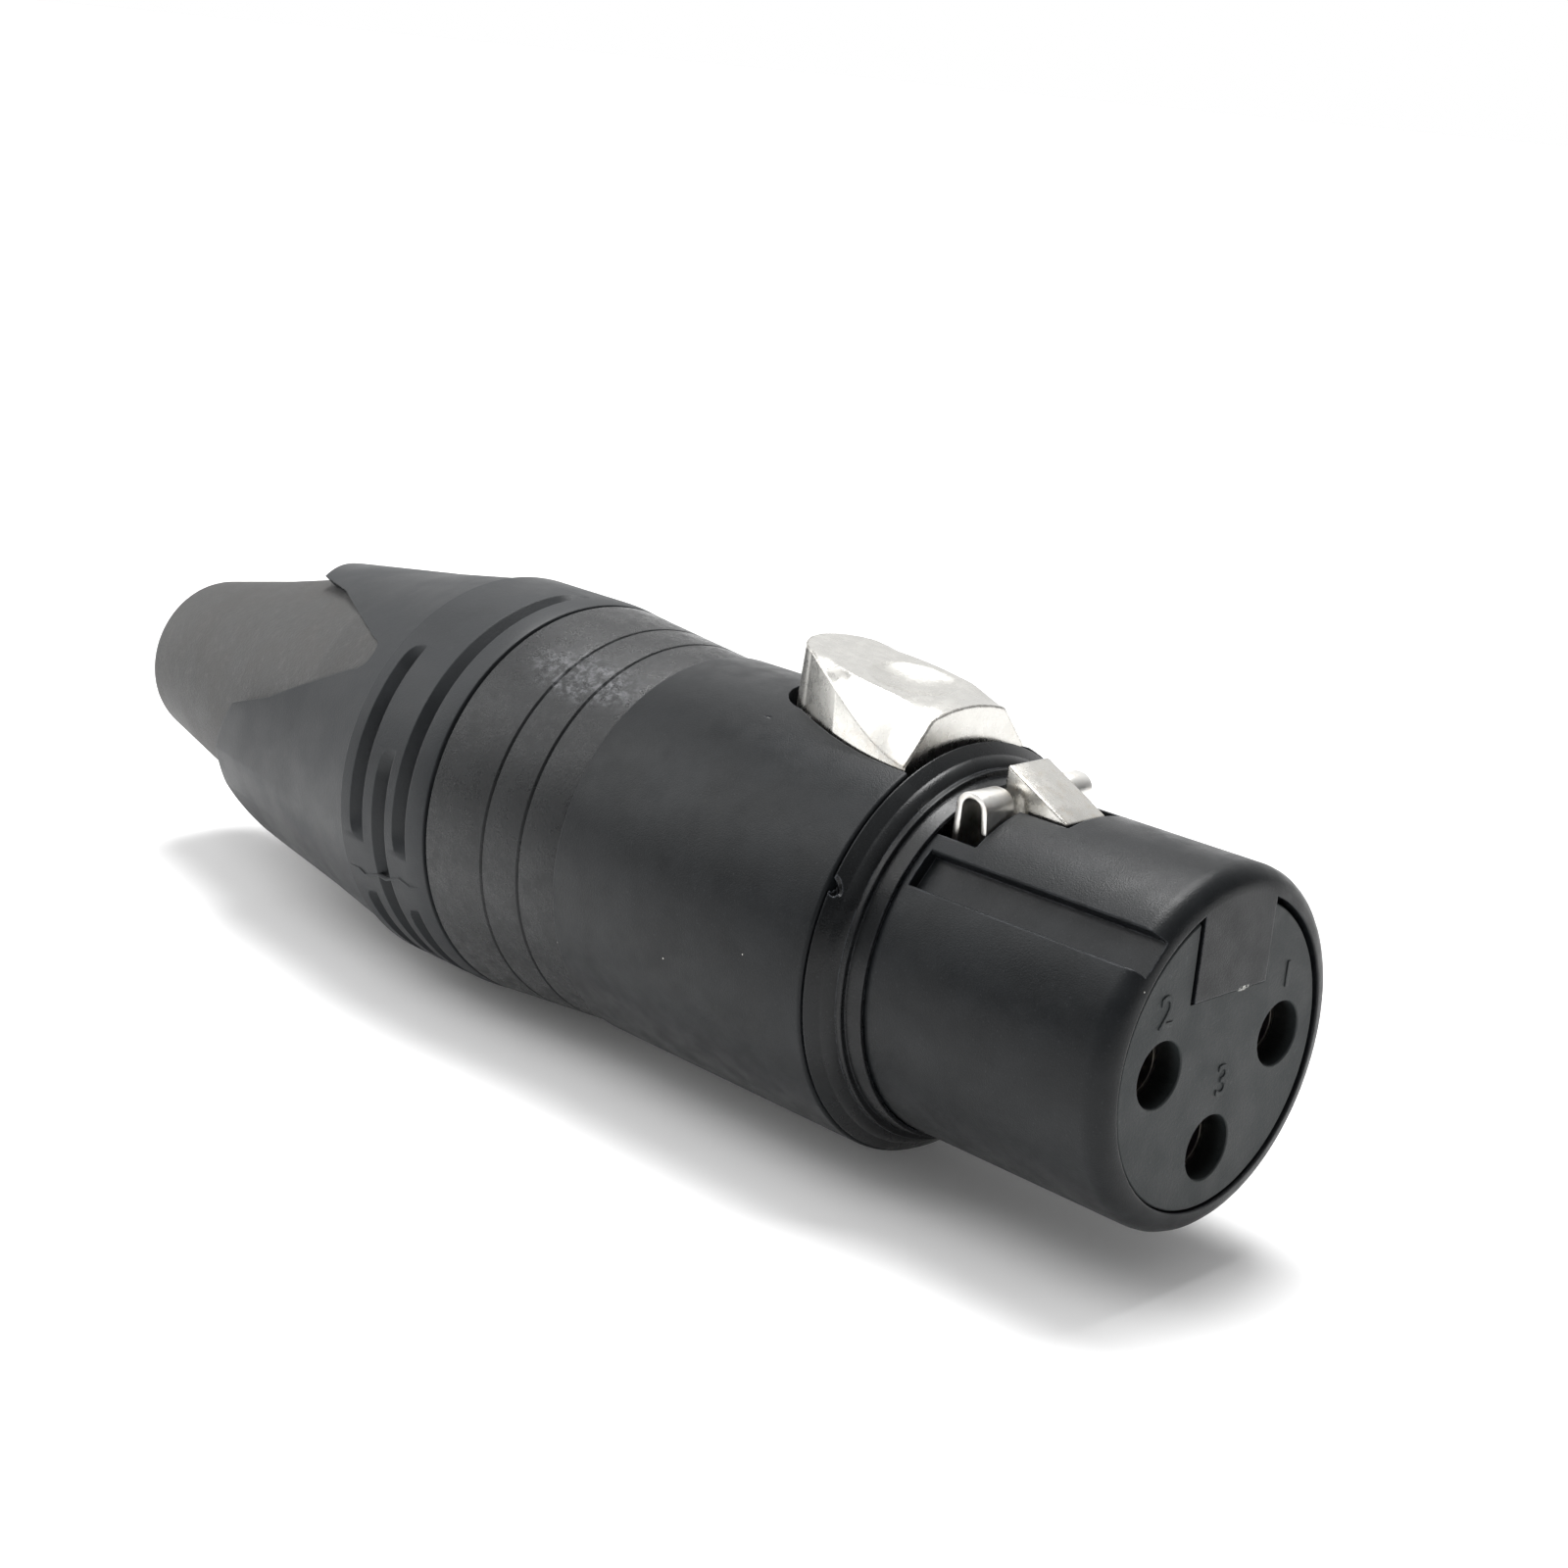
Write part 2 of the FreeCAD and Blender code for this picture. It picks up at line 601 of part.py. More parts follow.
def make_shoulder_ring():
    """Ring that closes the housing's shoulder, with a bevel, a channel and a lip."""
    body = new_body("shoulder_ring")
    back = size.shoulder_station - size.ring_back_gap
    bore = size.barrel_radius + size.ring_bore_gap
    lip_foot = size.lip_station + size.lip_width
    steps = [
        (-back, bore),
        (-back, size.ring_radius),
        (-(back - size.ring_band), size.ring_radius - size.ring_band),
        (-lip_foot, size.lip_radius, size.ring_hollow),
        (-size.lip_station, size.lip_radius),
        (-size.lip_station, size.lip_radius - size.lip_width),
        (-size.collar_station, size.collar_top),
        (-size.collar_station, bore),
    ]
    revolve(body, "ring", outline(new_sketch(body, "section", "XZ_Plane"), steps))


def make_marking_ring():
    """Flared ring over the housing's spigot, with two fine turned lines."""
    body = new_body("marking_ring")
    length = size.marking_back - size.body_back
    flare = (size.marking_back_radius - size.marking_front_radius) / length

    def outside(station):
        return size.marking_front_radius + flare * (station - size.body_back)

    steps = [
        (-size.body_back, size.spigot_radius + size.seat_gap),
        (-size.body_back, size.marking_front_radius),
    ]
    for line in (size.line_front, size.line_back):
        steps += [
            (-(line - size.line_width / 2), outside(line - size.line_width / 2)),
            (-line, outside(line) - size.line_depth),
            (-(line + size.line_width / 2), outside(line + size.line_width / 2)),
        ]
    steps += [
        (-size.marking_back, size.marking_back_radius),
        (-size.marking_back, size.spigot_radius + size.seat_gap),
    ]
    revolve(body, "ring", outline(new_sketch(body, "section", "XZ_Plane"), steps))


def socket_places():
    """Side and height of the three sockets on their circle."""
    return [(size.socket_circle, ZERO), (-size.socket_circle, ZERO), (ZERO, -size.socket_circle)]


def cut_block(body, name, front, back, half, floor):
    """Cut a straight channel in an insert, open at the top."""
    plane = new_sketch(body, f"{name}_face", "YZ_Plane", shift=-front)
    block = outline(plane, block_steps(half, floor, size.barrel_radius))
    pocket(body, name, block, back - front)


def cut_discs(body, name, front, length, radius):
    """Cut the same round hole at each socket."""
    plane = new_sketch(body, f"{name}_face", "YZ_Plane", shift=-front)
    for side, height in socket_places():
        disc(plane, side, height, radius)
    return pocket(body, name, plane, length)


def make_insert_front():
    """Front insert with three socket mouths, the key notch and the latch channel."""
    body = new_body("insert_front")
    front = size.insert_front
    face = disc(new_sketch(body, "face", "YZ_Plane", shift=-front), ZERO, ZERO, size.insert_radius)
    pad(body, "plug", face, size.insert_joint - front, backward=True)
    notch = size.key_depth + size.insert_gap
    cut_block(body, "notch", front, notch, size.key_half + size.insert_gap,
              size.key_floor - size.insert_gap)
    cut_block(body, "channel", notch, size.insert_joint, size.channel_half, size.channel_floor)
    cut_block(body, "deck", size.deck_front - size.slot_gap, size.insert_joint,
              size.deck_half, size.deck_height)
    cut_discs(body, "mouths", front, size.socket_lip, size.socket_mouth)
    cut_discs(body, "seats", front + size.socket_lip, size.insert_joint,
              size.contact_radius + size.contact_gap)


def make_insert_rear():
    """Rear insert with a stop flange and a skirt round the solder cups."""
    body = new_body("insert_rear")
    steps = [
        (-size.insert_joint, ZERO),
        (-size.insert_joint, size.insert_radius),
        (-size.step_station, size.insert_radius),
        (-size.step_station, size.flange_radius),
        (-size.skirt_back, size.flange_radius),
        (-size.skirt_back, size.skirt_radius),
        (-size.flange_back, size.skirt_radius),
        (-size.flange_back, ZERO),
    ]
    revolve(body, "plug", outline(new_sketch(body, "section", "XZ_Plane"), steps))
    room_end = size.tab_end + size.window_gap
    cut_block(body, "channel", size.insert_joint, room_end, size.channel_half, size.channel_floor)
    cut_block(body, "deck", size.insert_joint, room_end, size.deck_half, size.deck_height)
    cut_discs(body, "seats", size.insert_joint, size.flange_back,
              size.contact_radius + size.contact_gap)
    cut_discs(body, "collar_seats", size.insert_joint, size.collar_length + size.contact_gap,
              size.collar_radius + size.contact_gap)


def make_contact(number, side, height):
    """Turned contact: a blind bore for the mating pin, a collar and a solder cup."""
    body = new_body(f"contact_{number}", side, height)
    front = size.insert_front + size.socket_lip + size.contact_gap
    collar_back = size.insert_joint + size.collar_length
    steps = [
        (-front, size.contact_bore),
        (-front, size.contact_radius),
        (-size.insert_joint, size.contact_radius),
        (-size.insert_joint, size.collar_radius),
        (-collar_back, size.collar_radius),
        (-collar_back, size.contact_radius),
        (-size.cup_front, size.contact_radius),
        (-size.cup_front, size.cup_radius),
        (-size.cup_back, size.cup_radius),
        (-size.cup_back, size.cup_bore),
        (-(size.cup_front + size.contact_gap), size.cup_bore),
        (-(size.cup_front + size.contact_gap), ZERO),
        (-(front + size.contact_depth), ZERO),
        (-(front + size.contact_depth), size.contact_bore),
    ]
    revolve(body, "turning", outline(new_sketch(body, "section", "XZ_Plane"), steps))


def make_ground_spring():
    """Bent sheet: a saddle in the inserts' channel and two curled wings."""
    body = new_body("ground_spring")
    sheet_top = size.deck_height + size.spring_sheet
    outer = size.channel_half - size.seat_gap
    inner = outer - size.spring_sheet
    low = size.channel_floor + size.seat_gap
    half_steps = [(inner, low + size.spring_sheet), (inner, sheet_top), (size.spring_half, sheet_top),
                  (size.spring_half, size.deck_height), (outer, size.deck_height), (outer, low)]
    mirrored = [(-y, height) for y, height in reversed(half_steps)]
    saddle = new_sketch(body, "saddle_face", "YZ_Plane", shift=-size.wing_back)
    outline(saddle, half_steps + mirrored)
    pad(body, "saddle", saddle, size.saddle_back - size.wing_back, backward=True)
    front = size.wing_back - size.wing_round * 2
    sheet_in = size.spring_sheet
    middle = size.wing_back - size.wing_round
    inside = size.wing_round - sheet_in
    wing_steps = [
        (-(size.wing_back + sheet_in), size.deck_height),
        (-(size.wing_back - sheet_in), size.deck_height),
        (-(size.wing_back - sheet_in), size.wing_centre),
        (-middle, size.wing_centre + inside, -inside),
        (-(front + sheet_in), size.wing_centre, -inside),
        (-(front + sheet_in + size.wing_tuck), size.wing_end),
        (-(front + size.wing_tuck), size.wing_end),
        (-front, size.wing_centre),
        (-middle, size.wing_centre + size.wing_round, size.wing_round),
        (-size.wing_back, size.wing_centre, size.wing_round),
        (-size.wing_back, sheet_top),
        (-(size.wing_back + sheet_in), sheet_top),
    ]
    profile = new_sketch(body, "wing_section", "XZ_Plane", shift=-size.wing_inner)
    outline(profile, wing_steps)
    wing = pad(body, "wing", profile, size.spring_half - size.wing_inner, backward=True)
    mirror(body, "wings", [wing])


def make_latch():
    """Cast latch: a faceted thumb tab with a dimple, an arm and a hook, in one piece."""
    body = new_body("latch")
    plan = outline(new_sketch(body, "tab_plan", "XY_Plane", shift=size.tab_floor),
                   tab_plan(ZERO, size.tab_front))
    rise = slope(size.tab_slope)
    back_top = size.tab_front_top + rise * (size.tab_end - size.tab_front)
    pad(body, "tab", plan, back_top - size.tab_floor)
    clear = size.tab_front_half
    over = [
        (-(size.tab_front - clear), size.tab_front_top - rise * clear),
        (-(size.tab_front - clear), back_top + clear),
        (-(size.tab_end + clear), back_top + clear),
        (-(size.tab_end + clear), back_top + rise * clear),
    ]
    cutter = outline(new_sketch(body, "top_section", "XZ_Plane"), over)
    pocket(body, "top", cutter, clear * 4, both=True)
    facet = [facet_section(body, "facet_front", size.tab_front - size.facet_margin),
             facet_section(body, "facet_back", size.facet_back + size.facet_margin)]
    cut = body.newObject("PartDesign::SubtractiveLoft", "latch_facet")
    cut.Profile = facet[0]
    cut.Sections = [facet[1]]
    cut.Ruled = True
    CUTS.append(cut)
    mirror(body, "facets", [cut])
    dimple = body.newObject("PartDesign::SubtractiveSphere", "latch_dimple")
    bind(dimple, "Radius", size.dimple_radius)
    dimple_top = size.tab_front_top + rise * (size.dimple_station - size.tab_front)
    bind(dimple, "Placement.Base.x", -size.dimple_station)
    bind(dimple, "Placement.Base.z", dimple_top + size.dimple_radius - size.dimple_depth)
    CUTS.append(dimple)
    hook = [
        (-size.arm_back, size.arm_floor),
        (-size.hook_front, size.arm_floor),
        (-size.hook_front, size.hook_nose),
        (-(size.hook_back - size.hook_flat), size.hook_top),
        (-(size.hook_back - size.hook_round), size.hook_top),
        (-size.hook_back, size.hook_top - size.hook_round, size.hook_round),
        (-size.hook_back, size.arm_top),
        (-size.arm_back, size.arm_top),
    ]
    profile = outline(new_sketch(body, "arm_section", "XZ_Plane"), hook)
    pad(body, "arm", profile, size.hook_half * 2, both=True)
    hole = new_sketch(body, "pin_hole_section", "XZ_Plane")
    disc(hole, -size.pivot_station, size.pivot_height, size.pin_radius + size.pin_gap)
    pocket(body, "pin_hole", hole, size.pin_half * 2, both=True)


def facet_section(body, name, station):
    """Triangle that the side facet takes off the tab, at one station."""
    share = (station - size.tab_front) / (size.facet_back - size.tab_front)
    across = size.facet_low_half - size.facet_high_half
    down = size.facet_high_top - size.facet_low_top
    past = size.facet_margin / across
    corner_y = size.facet_high_half - size.facet_shift * share
    corner_z = size.facet_high_top + size.facet_rise * share
    low_y = corner_y + across * (past + 1)
    low_z = corner_z - down * (past + 1)
    high_y = corner_y - across * past
    high_z = corner_z + down * past
    plane = new_sketch(body, name, "YZ_Plane", shift=-station)
    return outline(plane, [(low_y, low_z), (low_y, high_z), (high_y, high_z)])


def make_latch_pin():
    """Plain pin across the window that the latch turns on."""
    pin = doc.addObject("Part::Cylinder", "latch_pin")
    pin.Label = "latch_pin"
    bind(pin, "Radius", size.pin_radius)
    bind(pin, "Height", size.pin_half * 2)
    along_y = FreeCAD.Rotation(X_AXIS, 90)
    pin.Placement = FreeCAD.Placement(FreeCAD.Vector(), along_y)
    bind(pin, "Placement.Base.x", size.overall_length / 2 - size.pivot_station)
    bind(pin, "Placement.Base.y", size.pin_half)
    bind(pin, "Placement.Base.z", size.boot_radius + size.pivot_height)
    PIECES.append(pin)


def make_latch_spring():
    """Small coil between the channel's floor and the latch arm."""
    room = size.arm_floor - size.channel_floor - size.seat_gap * 2
    pitch_run = room - size.coil_wire * 2
    coil = doc.addObject("PartDesign::Body", "latch_spring")
    coil.Label = "latch_spring"
    bind(coil, "Placement.Base.x", size.overall_length / 2 - size.coil_station)
    lift = size.channel_floor + size.seat_gap + size.coil_wire
    bind(coil, "Placement.Base.z", size.boot_radius + lift)
    wire = disc(new_sketch(coil, "wire", "XZ_Plane"), size.coil_radius, ZERO, size.coil_wire)
    helix = coil.newObject("PartDesign::AdditiveHelix", "latch_spring_coil")
    helix.Profile = wire
    helix.ReferenceAxis = (wire, ["V_Axis"])
    helix.Mode = "pitch-height-angle"
    bind(helix, "Pitch", pitch_run / size.coil_turns)
    bind(helix, "Height", pitch_run)
    PIECES.append(coil)


def make_cable_chuck():
    """Slotted chuck that the boot closes on the cable."""
    body = new_body("cable_chuck")
    steps = [
        (-size.chuck_front, size.chuck_hollow),
        (-size.chuck_front, size.chuck_radius),
        (-size.chuck_shoulder, size.chuck_radius),
        (-size.chuck_back, size.chuck_end_radius),
        (-size.chuck_back, size.chuck_bore),
        (-size.chuck_jaw, size.chuck_bore),
        (-(size.chuck_jaw - size.chuck_hollow + size.chuck_bore), size.chuck_hollow),
    ]
    revolve(body, "cone", outline(new_sketch(body, "section", "XZ_Plane"), steps))
    plan = box_steps(size.chuck_back + size.chuck_slot, size.chuck_jaw + size.chuck_slot,
                     size.chuck_slot / 2)
    slot = outline(new_sketch(body, "slot_plan", "XY_Plane"), plan)
    repeat(body, "slots", [pocket(body, "slot", slot, forward=True)], size.chuck_jaws)


def make_boot_skirt():
    """Hard part of the boot: a threaded collar with staggered slots and three petals."""
    body = new_body("boot_skirt")
    bore = size.tail_radius + size.boot_bore_gap
    front_radius = size.boot_radius - size.skirt_edge
    steps = [
        (-size.marking_back, bore),
        (-size.marking_back, front_radius),
        (-size.boot_belly, size.boot_radius, size.boot_radius),
        (-size.boot_taper, size.boot_radius),
        (-size.petal_mid, size.petal_mid_radius),
        (-size.petal_back, size.petal_back_radius),
        (-size.petal_back, size.petal_back_radius - size.petal_wall),
        (-size.petal_mid, size.petal_mid_radius - size.petal_wall),
        (-size.boot_throat, bore),
    ]
    revolve(body, "collar", outline(new_sketch(body, "section", "XZ_Plane"), steps))
    rounding = size.valley_round
    beyond = size.petal_back + rounding
    valley_steps = [
        (-beyond, size.valley_end_half),
        (-beyond, -size.valley_end_half),
        (-size.petal_back, -size.valley_end_half),
        (-size.valley_lobe, -size.valley_lobe_half),
        (-size.valley_mid, -size.valley_mid_half),
        (-(size.valley_front + rounding), -rounding),
        (-size.valley_front, ZERO, rounding),
        (-(size.valley_front + rounding), rounding, rounding),
        (-size.valley_mid, size.valley_mid_half),
        (-size.valley_lobe, size.valley_lobe_half),
        (-size.petal_back, size.valley_end_half),
    ]
    plan = new_sketch(body, "valley_plan", "XY_Plane", angle=size.valley_angle)
    valley = pocket(body, "valley", outline(plan, valley_steps), forward=True)
    petal_angle = size.valley_angle + THIRD / 2
    slots = [
        make_slot(body, "front_slot", size.slot_front, size.valley_angle, size.slot_long),
        make_slot(body, "middle_slot", size.slot_middle, petal_angle, size.slot_short),
        make_slot(body, "back_slot", size.slot_back, size.valley_angle, size.slot_long),
    ]
    repeat(body, "thirds", [valley] + slots, PETALS)
    return body


def make_slot(body, name, station, angle, length):
    """One grip slot of the boot, over part of a turn."""
    half = size.slot_width / 2
    steps = [
        (-(station + half), size.boot_radius - size.slot_depth),
        (-(station - half), size.boot_radius - size.slot_depth),
        (-(station - half), size.boot_radius + size.slot_depth),
        (-(station + half), size.boot_radius + size.slot_depth),
    ]
    sketch = outline(new_sketch(body, f"{name}_section", "XZ_Plane", angle=angle), steps)
    return turned_slot(body, name, sketch, length)


def make_boot_sleeve(skirt):
    """Rubber cone of the boot, moulded round the petals, with the cable's bore."""
    body = new_body("boot_sleeve")
    PIECES.remove(body)
    body.Label = "sleeve_blank"
    straight_end = size.overall_length - size.sleeve_end_round
    fall = (size.boot_radius - size.petal_mid_radius) / (size.petal_mid - size.boot_taper)
    front_radius = size.boot_radius - fall * (size.boot_throat - size.boot_taper)
    end_radius = size.sleeve_end_radius
    steps = [
        (-size.boot_throat, size.tail_radius),
        (-size.boot_throat, front_radius - size.sleeve_sink),
        (-size.petal_mid, size.petal_mid_radius - size.sleeve_sink),
        (-size.sleeve_knee, size.sleeve_knee_radius),
        (-straight_end, end_radius),
        (-size.overall_length, end_radius - size.sleeve_end_round, size.sleeve_end_round),
        (-size.overall_length, size.cable_radius),
        (-size.throat_back, size.cable_radius),
    ]
    revolve(body, "cone", outline(new_sketch(body, "section", "XZ_Plane"), steps))
    sleeve = doc.addObject("Part::Cut", "boot_sleeve")
    sleeve.Label = "boot_sleeve"
    sleeve.Base = body
    sleeve.Tool = skirt
    PIECES.append(sleeve)


def check_and_write():
    """Stop on any failed object, cut or shape, then write one file a piece."""
    doc.recompute()
    for thing in doc.Objects:
        if "Invalid" in thing.State or "Error" in thing.State:
            raise RuntimeError(f"{thing.Name} failed: {thing.State}")
    for cut in CUTS:
        if cut.Shape.Volume > cut.BaseFeature.Shape.Volume - 1e-6:
            raise RuntimeError(f"{cut.Name} cuts nothing")
    os.makedirs("parts", exist_ok=True)
    for piece in PIECES:
        shape = piece.Shape
        if shape.isNull() or not shape.isValid() or len(shape.Solids) != 1:
            raise RuntimeError(f"{piece.Label} is not one sound solid: {len(shape.Solids)}")
        shape.exportStep(os.path.join("parts", f"{piece.Label}.step"))
        box = shape.BoundBox
        print(f"{piece.Label:14s} {shape.Volume:9.2f} mm3  x {box.XMin:7.2f} {box.XMax:7.2f}"
              f"  y {box.YMin:7.2f} {box.YMax:7.2f}  z {box.ZMin:7.2f} {box.ZMax:7.2f}")


make_shell()
make_shoulder_ring()
make_marking_ring()
make_insert_front()
make_insert_rear()
for contact_number, (contact_side, contact_height) in enumerate(socket_places(), start=1):
    make_contact(contact_number, contact_side, contact_height)
make_ground_spring()
make_latch()
make_latch_pin()
make_latch_spring()
make_cable_chuck()
boot_skirt = make_boot_skirt()
make_boot_sleeve(boot_skirt)
check_and_write()
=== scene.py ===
import math

import bmesh
import bpy
from mathutils import Matrix, Vector


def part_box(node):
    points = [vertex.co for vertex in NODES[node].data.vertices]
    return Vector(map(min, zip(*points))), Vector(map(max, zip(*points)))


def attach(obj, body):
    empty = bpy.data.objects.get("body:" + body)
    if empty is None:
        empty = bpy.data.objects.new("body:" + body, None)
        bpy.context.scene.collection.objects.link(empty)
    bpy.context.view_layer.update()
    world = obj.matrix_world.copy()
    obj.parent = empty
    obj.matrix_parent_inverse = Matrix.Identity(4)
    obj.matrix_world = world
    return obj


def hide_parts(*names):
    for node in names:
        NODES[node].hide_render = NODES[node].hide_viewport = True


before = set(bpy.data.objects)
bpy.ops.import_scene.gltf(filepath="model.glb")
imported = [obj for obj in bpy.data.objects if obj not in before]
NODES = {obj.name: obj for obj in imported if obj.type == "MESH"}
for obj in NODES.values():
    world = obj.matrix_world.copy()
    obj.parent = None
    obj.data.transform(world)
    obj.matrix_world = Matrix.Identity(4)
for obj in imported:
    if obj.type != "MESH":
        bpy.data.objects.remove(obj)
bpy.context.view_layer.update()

# Lengths below are in millimetres. Stations are distances behind the mating face, and
# angles are turned about the connector's axis, from the top towards negative Y.
MM = 0.001
FACE_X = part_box("shell")[1].x / MM
# The axis is the marking ring's radius above the ring's lowest point.
AXIS_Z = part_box("marking_ring")[0].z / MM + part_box("marking_ring")[1].y / MM
COLUMNS = 480
BEVEL_ANGLE = 40.0
SMOOTH_ANGLE = 28.0


def place(station, angle, radius):
    """A point at a station, an angle from the top and a radius, in metres."""
    turn = math.radians(angle)
    return Vector((
        (FACE_X - station) * MM,
        -radius * math.sin(turn) * MM,
        (AXIS_Z + radius * math.cos(turn)) * MM,
    ))


def spot(station, side, height):
    """A point at a station, to the side and above the axis, in metres."""
    return Vector(((FACE_X - station) * MM, side * MM, (AXIS_Z + height) * MM))


def add_object(name, data):
    """A new object in the scene."""
    added = bpy.data.objects.new(name, data)
    bpy.context.scene.collection.objects.link(added)
    return added


def add_mesh(name, points, faces):
    """A new mesh object of these points and faces, with its faces turned outwards."""
    mesh = bpy.data.meshes.new(name)
    mesh.from_pydata([tuple(point) for point in points], [], faces)
    mesh.validate()
    work = bmesh.new()
    work.from_mesh(mesh)
    bmesh.ops.recalc_face_normals(work, faces=work.faces)
    work.to_mesh(mesh)
    work.free()
    return add_object(name, mesh)


def lathe(name, corners):
    """Turn a closed profile with rounded corners about the connector's axis."""
    profile = rounded(corners)
    points = [place(station, 360.0 * column / COLUMNS, radius)
              for station, radius in profile for column in range(COLUMNS)]
    faces = []
    for row in range(len(profile)):
        following = (row + 1) % len(profile)
        for column in range(COLUMNS):
            beside = (column + 1) % COLUMNS
            faces.append((
                row * COLUMNS + column,
                row * COLUMNS + beside,
                following * COLUMNS + beside,
                following * COLUMNS + column,
            ))
    return add_mesh(name, points, faces)


def rounded(corners, steps=5):
    """A closed profile with its corners rounded. A corner is (station, radius) or
    (station, radius, rounding)."""
    profile = []
    for number, corner in enumerate(corners):
        here = Vector(corner[:2])
        if len(corner) == 2:
            profile.append(tuple(here))
            continue
        before = Vector(corners[number - 1][:2]) - here
        after = Vector(corners[(number + 1) % len(corners)][:2]) - here
        half = before.angle(after) / 2
        reach = corner[2] / math.tan(half)
        start = before.normalized() * reach
        end = after.normalized() * reach
        middle = (before.normalized() + after.normalized()).normalized()
        centre = middle * (corner[2] / math.sin(half))
        first = start - centre
        turn = first.angle_signed(end - centre)
        for step in range(steps + 1):
            arm = first.copy()
            arm.rotate(Matrix.Rotation(-turn * step / steps, 2))
            profile.append(tuple(here + centre + arm))
    return profile


def loft(name, rings):
    """A closed solid through rings of points, flat at its two ends."""
    count = len(rings[0])
    total = count * len(rings)
    points = [point for ring in rings for point in ring]
    faces = [tuple(range(count)), tuple(range(total - 1, total - count - 1, -1))]
    for row in range(len(rings) - 1):
        for number in range(count):
            beside = (number + 1) % count
            faces.append((row * count + number, row * count + beside,
                          (row + 1) * count + beside, (row + 1) * count + number))
    return add_mesh(name, points, faces)


def prism(name, outline, low, high):
    """A straight block of an outline in (station, side), between two heights."""
    return loft(name, [[spot(station, side, height) for station, side in outline]
                       for height in (low, high)])


def side_prism(name, outline, near, far):
    """A straight block of an outline in (station, height), between two sides."""
    return loft(name, [[spot(station, side, height) for station, height in outline]
                       for side in (near, far)])


def bar(name, outline, front, back):
    """A straight block of an outline in (side, height), between two stations."""
    return loft(name, [[spot(station, side, height) for side, height in outline]
                       for station in (front, back)])


def circle(centre_x, centre_y, radius, count=64):
    """Points of a full circle."""
    return arc_points(centre_x, centre_y, radius, 0.0, 360.0 - 360.0 / count, count - 1)


def combine(piece, tool, operation="DIFFERENCE"):
    """Apply a boolean with a tool that is then removed."""
    change = piece.modifiers.new("combine", "BOOLEAN")
    change.operation = operation
    change.solver = "EXACT"
    change.object = tool
    apply_modifiers(piece)
    bpy.data.objects.remove(tool)


def apply_modifiers(piece):
    """Bake the piece's modifiers into its mesh."""
    bpy.context.view_layer.update()
    graph = bpy.context.evaluated_depsgraph_get()
    mesh = bpy.data.meshes.new_from_object(piece.evaluated_get(graph))
    piece.modifiers.clear()
    piece.data = mesh


def bevel(piece, width, segments):
    """Round the sharp edges of a piece."""
    change = piece.modifiers.new("bevel", "BEVEL")
    change.width = width * MM
    change.segments = segments
    change.limit_method = "ANGLE"
    change.angle_limit = math.radians(BEVEL_ANGLE)
    change.use_clamp_overlap = True
    apply_modifiers(piece)


def smooth(piece, angle=SMOOTH_ANGLE):
    """Shade smooth, apart from edges sharper than the angle."""
    mesh = piece.data
    mesh.polygons.foreach_set("use_smooth", [True] * len(mesh.polygons))
    mesh.set_sharp_from_angle(angle=math.radians(angle))
    mesh.update()


def turn_about_axis(piece, angle):
    """Turn a mesh about the connector's axis, from the top towards negative Y."""
    centre = Vector((0.0, 0.0, AXIS_Z * MM))
    turn = Matrix.Rotation(math.radians(angle), 4, "X")
    piece.data.transform(Matrix.Translation(centre) @ turn @ Matrix.Translation(-centre))


def box_plan(front, back, half):
    """A rectangle about the middle, as (station, side)."""
    return [(front, -half), (front, half), (back, half), (back, -half)]


def shallow_arc(start, end, radius, steps):
    """Points after start up to end on an arc whose centre lies to the left of the way."""
    start, end = Vector(start), Vector(end)
    chord = end - start
    left = Vector((-chord.y, chord.x)).normalized()
    away = math.sqrt(radius * radius - (chord.length / 2) ** 2)
    centre = (start + end) / 2 + left * away
    first = start - centre
    turn = first.angle_signed(end - centre)
    points = []
    for step in range(1, steps + 1):
        arm = first.copy()
        arm.rotate(Matrix.Rotation(-turn * step / steps, 2))
        points.append(tuple(centre + arm))
    return points


def arc_points(centre_x, centre_y, radius, first, last, steps):
    """Points of an arc, with angles in degrees."""
    points = []
    for step in range(steps + 1):
        turn = math.radians(first + (last - first) * step / steps)
        points.append((centre_x + radius * math.cos(turn), centre_y + radius * math.sin(turn)))
    return points


def ease(value):
    """A smooth step from 0 to 1."""
    value = min(max(value, 0.0), 1.0)
    return value * value * (3.0 - 2.0 * value)


# Materials

# The key tab's flakes, as (side, height), and their reach in x, y and z.
FLECK_PLACE = (0.95, 2.68)
FLECK_REACH = (0.4, 0.6, 0.16)
# The painted highlight on the marking ring, a mottled pale patch, as (station, angle, radius), and
# its reach in x, y and z.
HIGHLIGHT_PLACE = (34.4, 31.5, 9.8)
HIGHLIGHT_REACH = (4.6, 2.0, 2.0)
NEAR_CORE = 0.45


def new_node(tree, kind, **values):
    """A new node with these settings."""
    made = tree.nodes.new(kind)
    for name, value in values.items():
        setattr(made, name, value)
    return made


def new_math(tree, operation, first, second):
    """The result of an operation on two values, each a number or a socket."""
    made = new_node(tree, "ShaderNodeMath", operation=operation)
    for number, value in enumerate((first, second)):
        if isinstance(value, (int, float)):
            made.inputs[number].default_value = value
        else:
            tree.links.new(value, made.inputs[number])
    return made.outputs[0]


def new_band(tree, source, low, high, to_low=0.0, to_high=1.0):
    """A smooth step between two values of a socket."""
    made = new_node(tree, "ShaderNodeMapRange", clamp=True, interpolation_type="SMOOTHSTEP")
    limits = {"From Min": low, "From Max": high, "To Min": to_low, "To Max": to_high}
    for name, value in limits.items():
        made.inputs[name].default_value = value
    tree.links.new(source, made.inputs["Value"])
    return made.outputs["Result"]


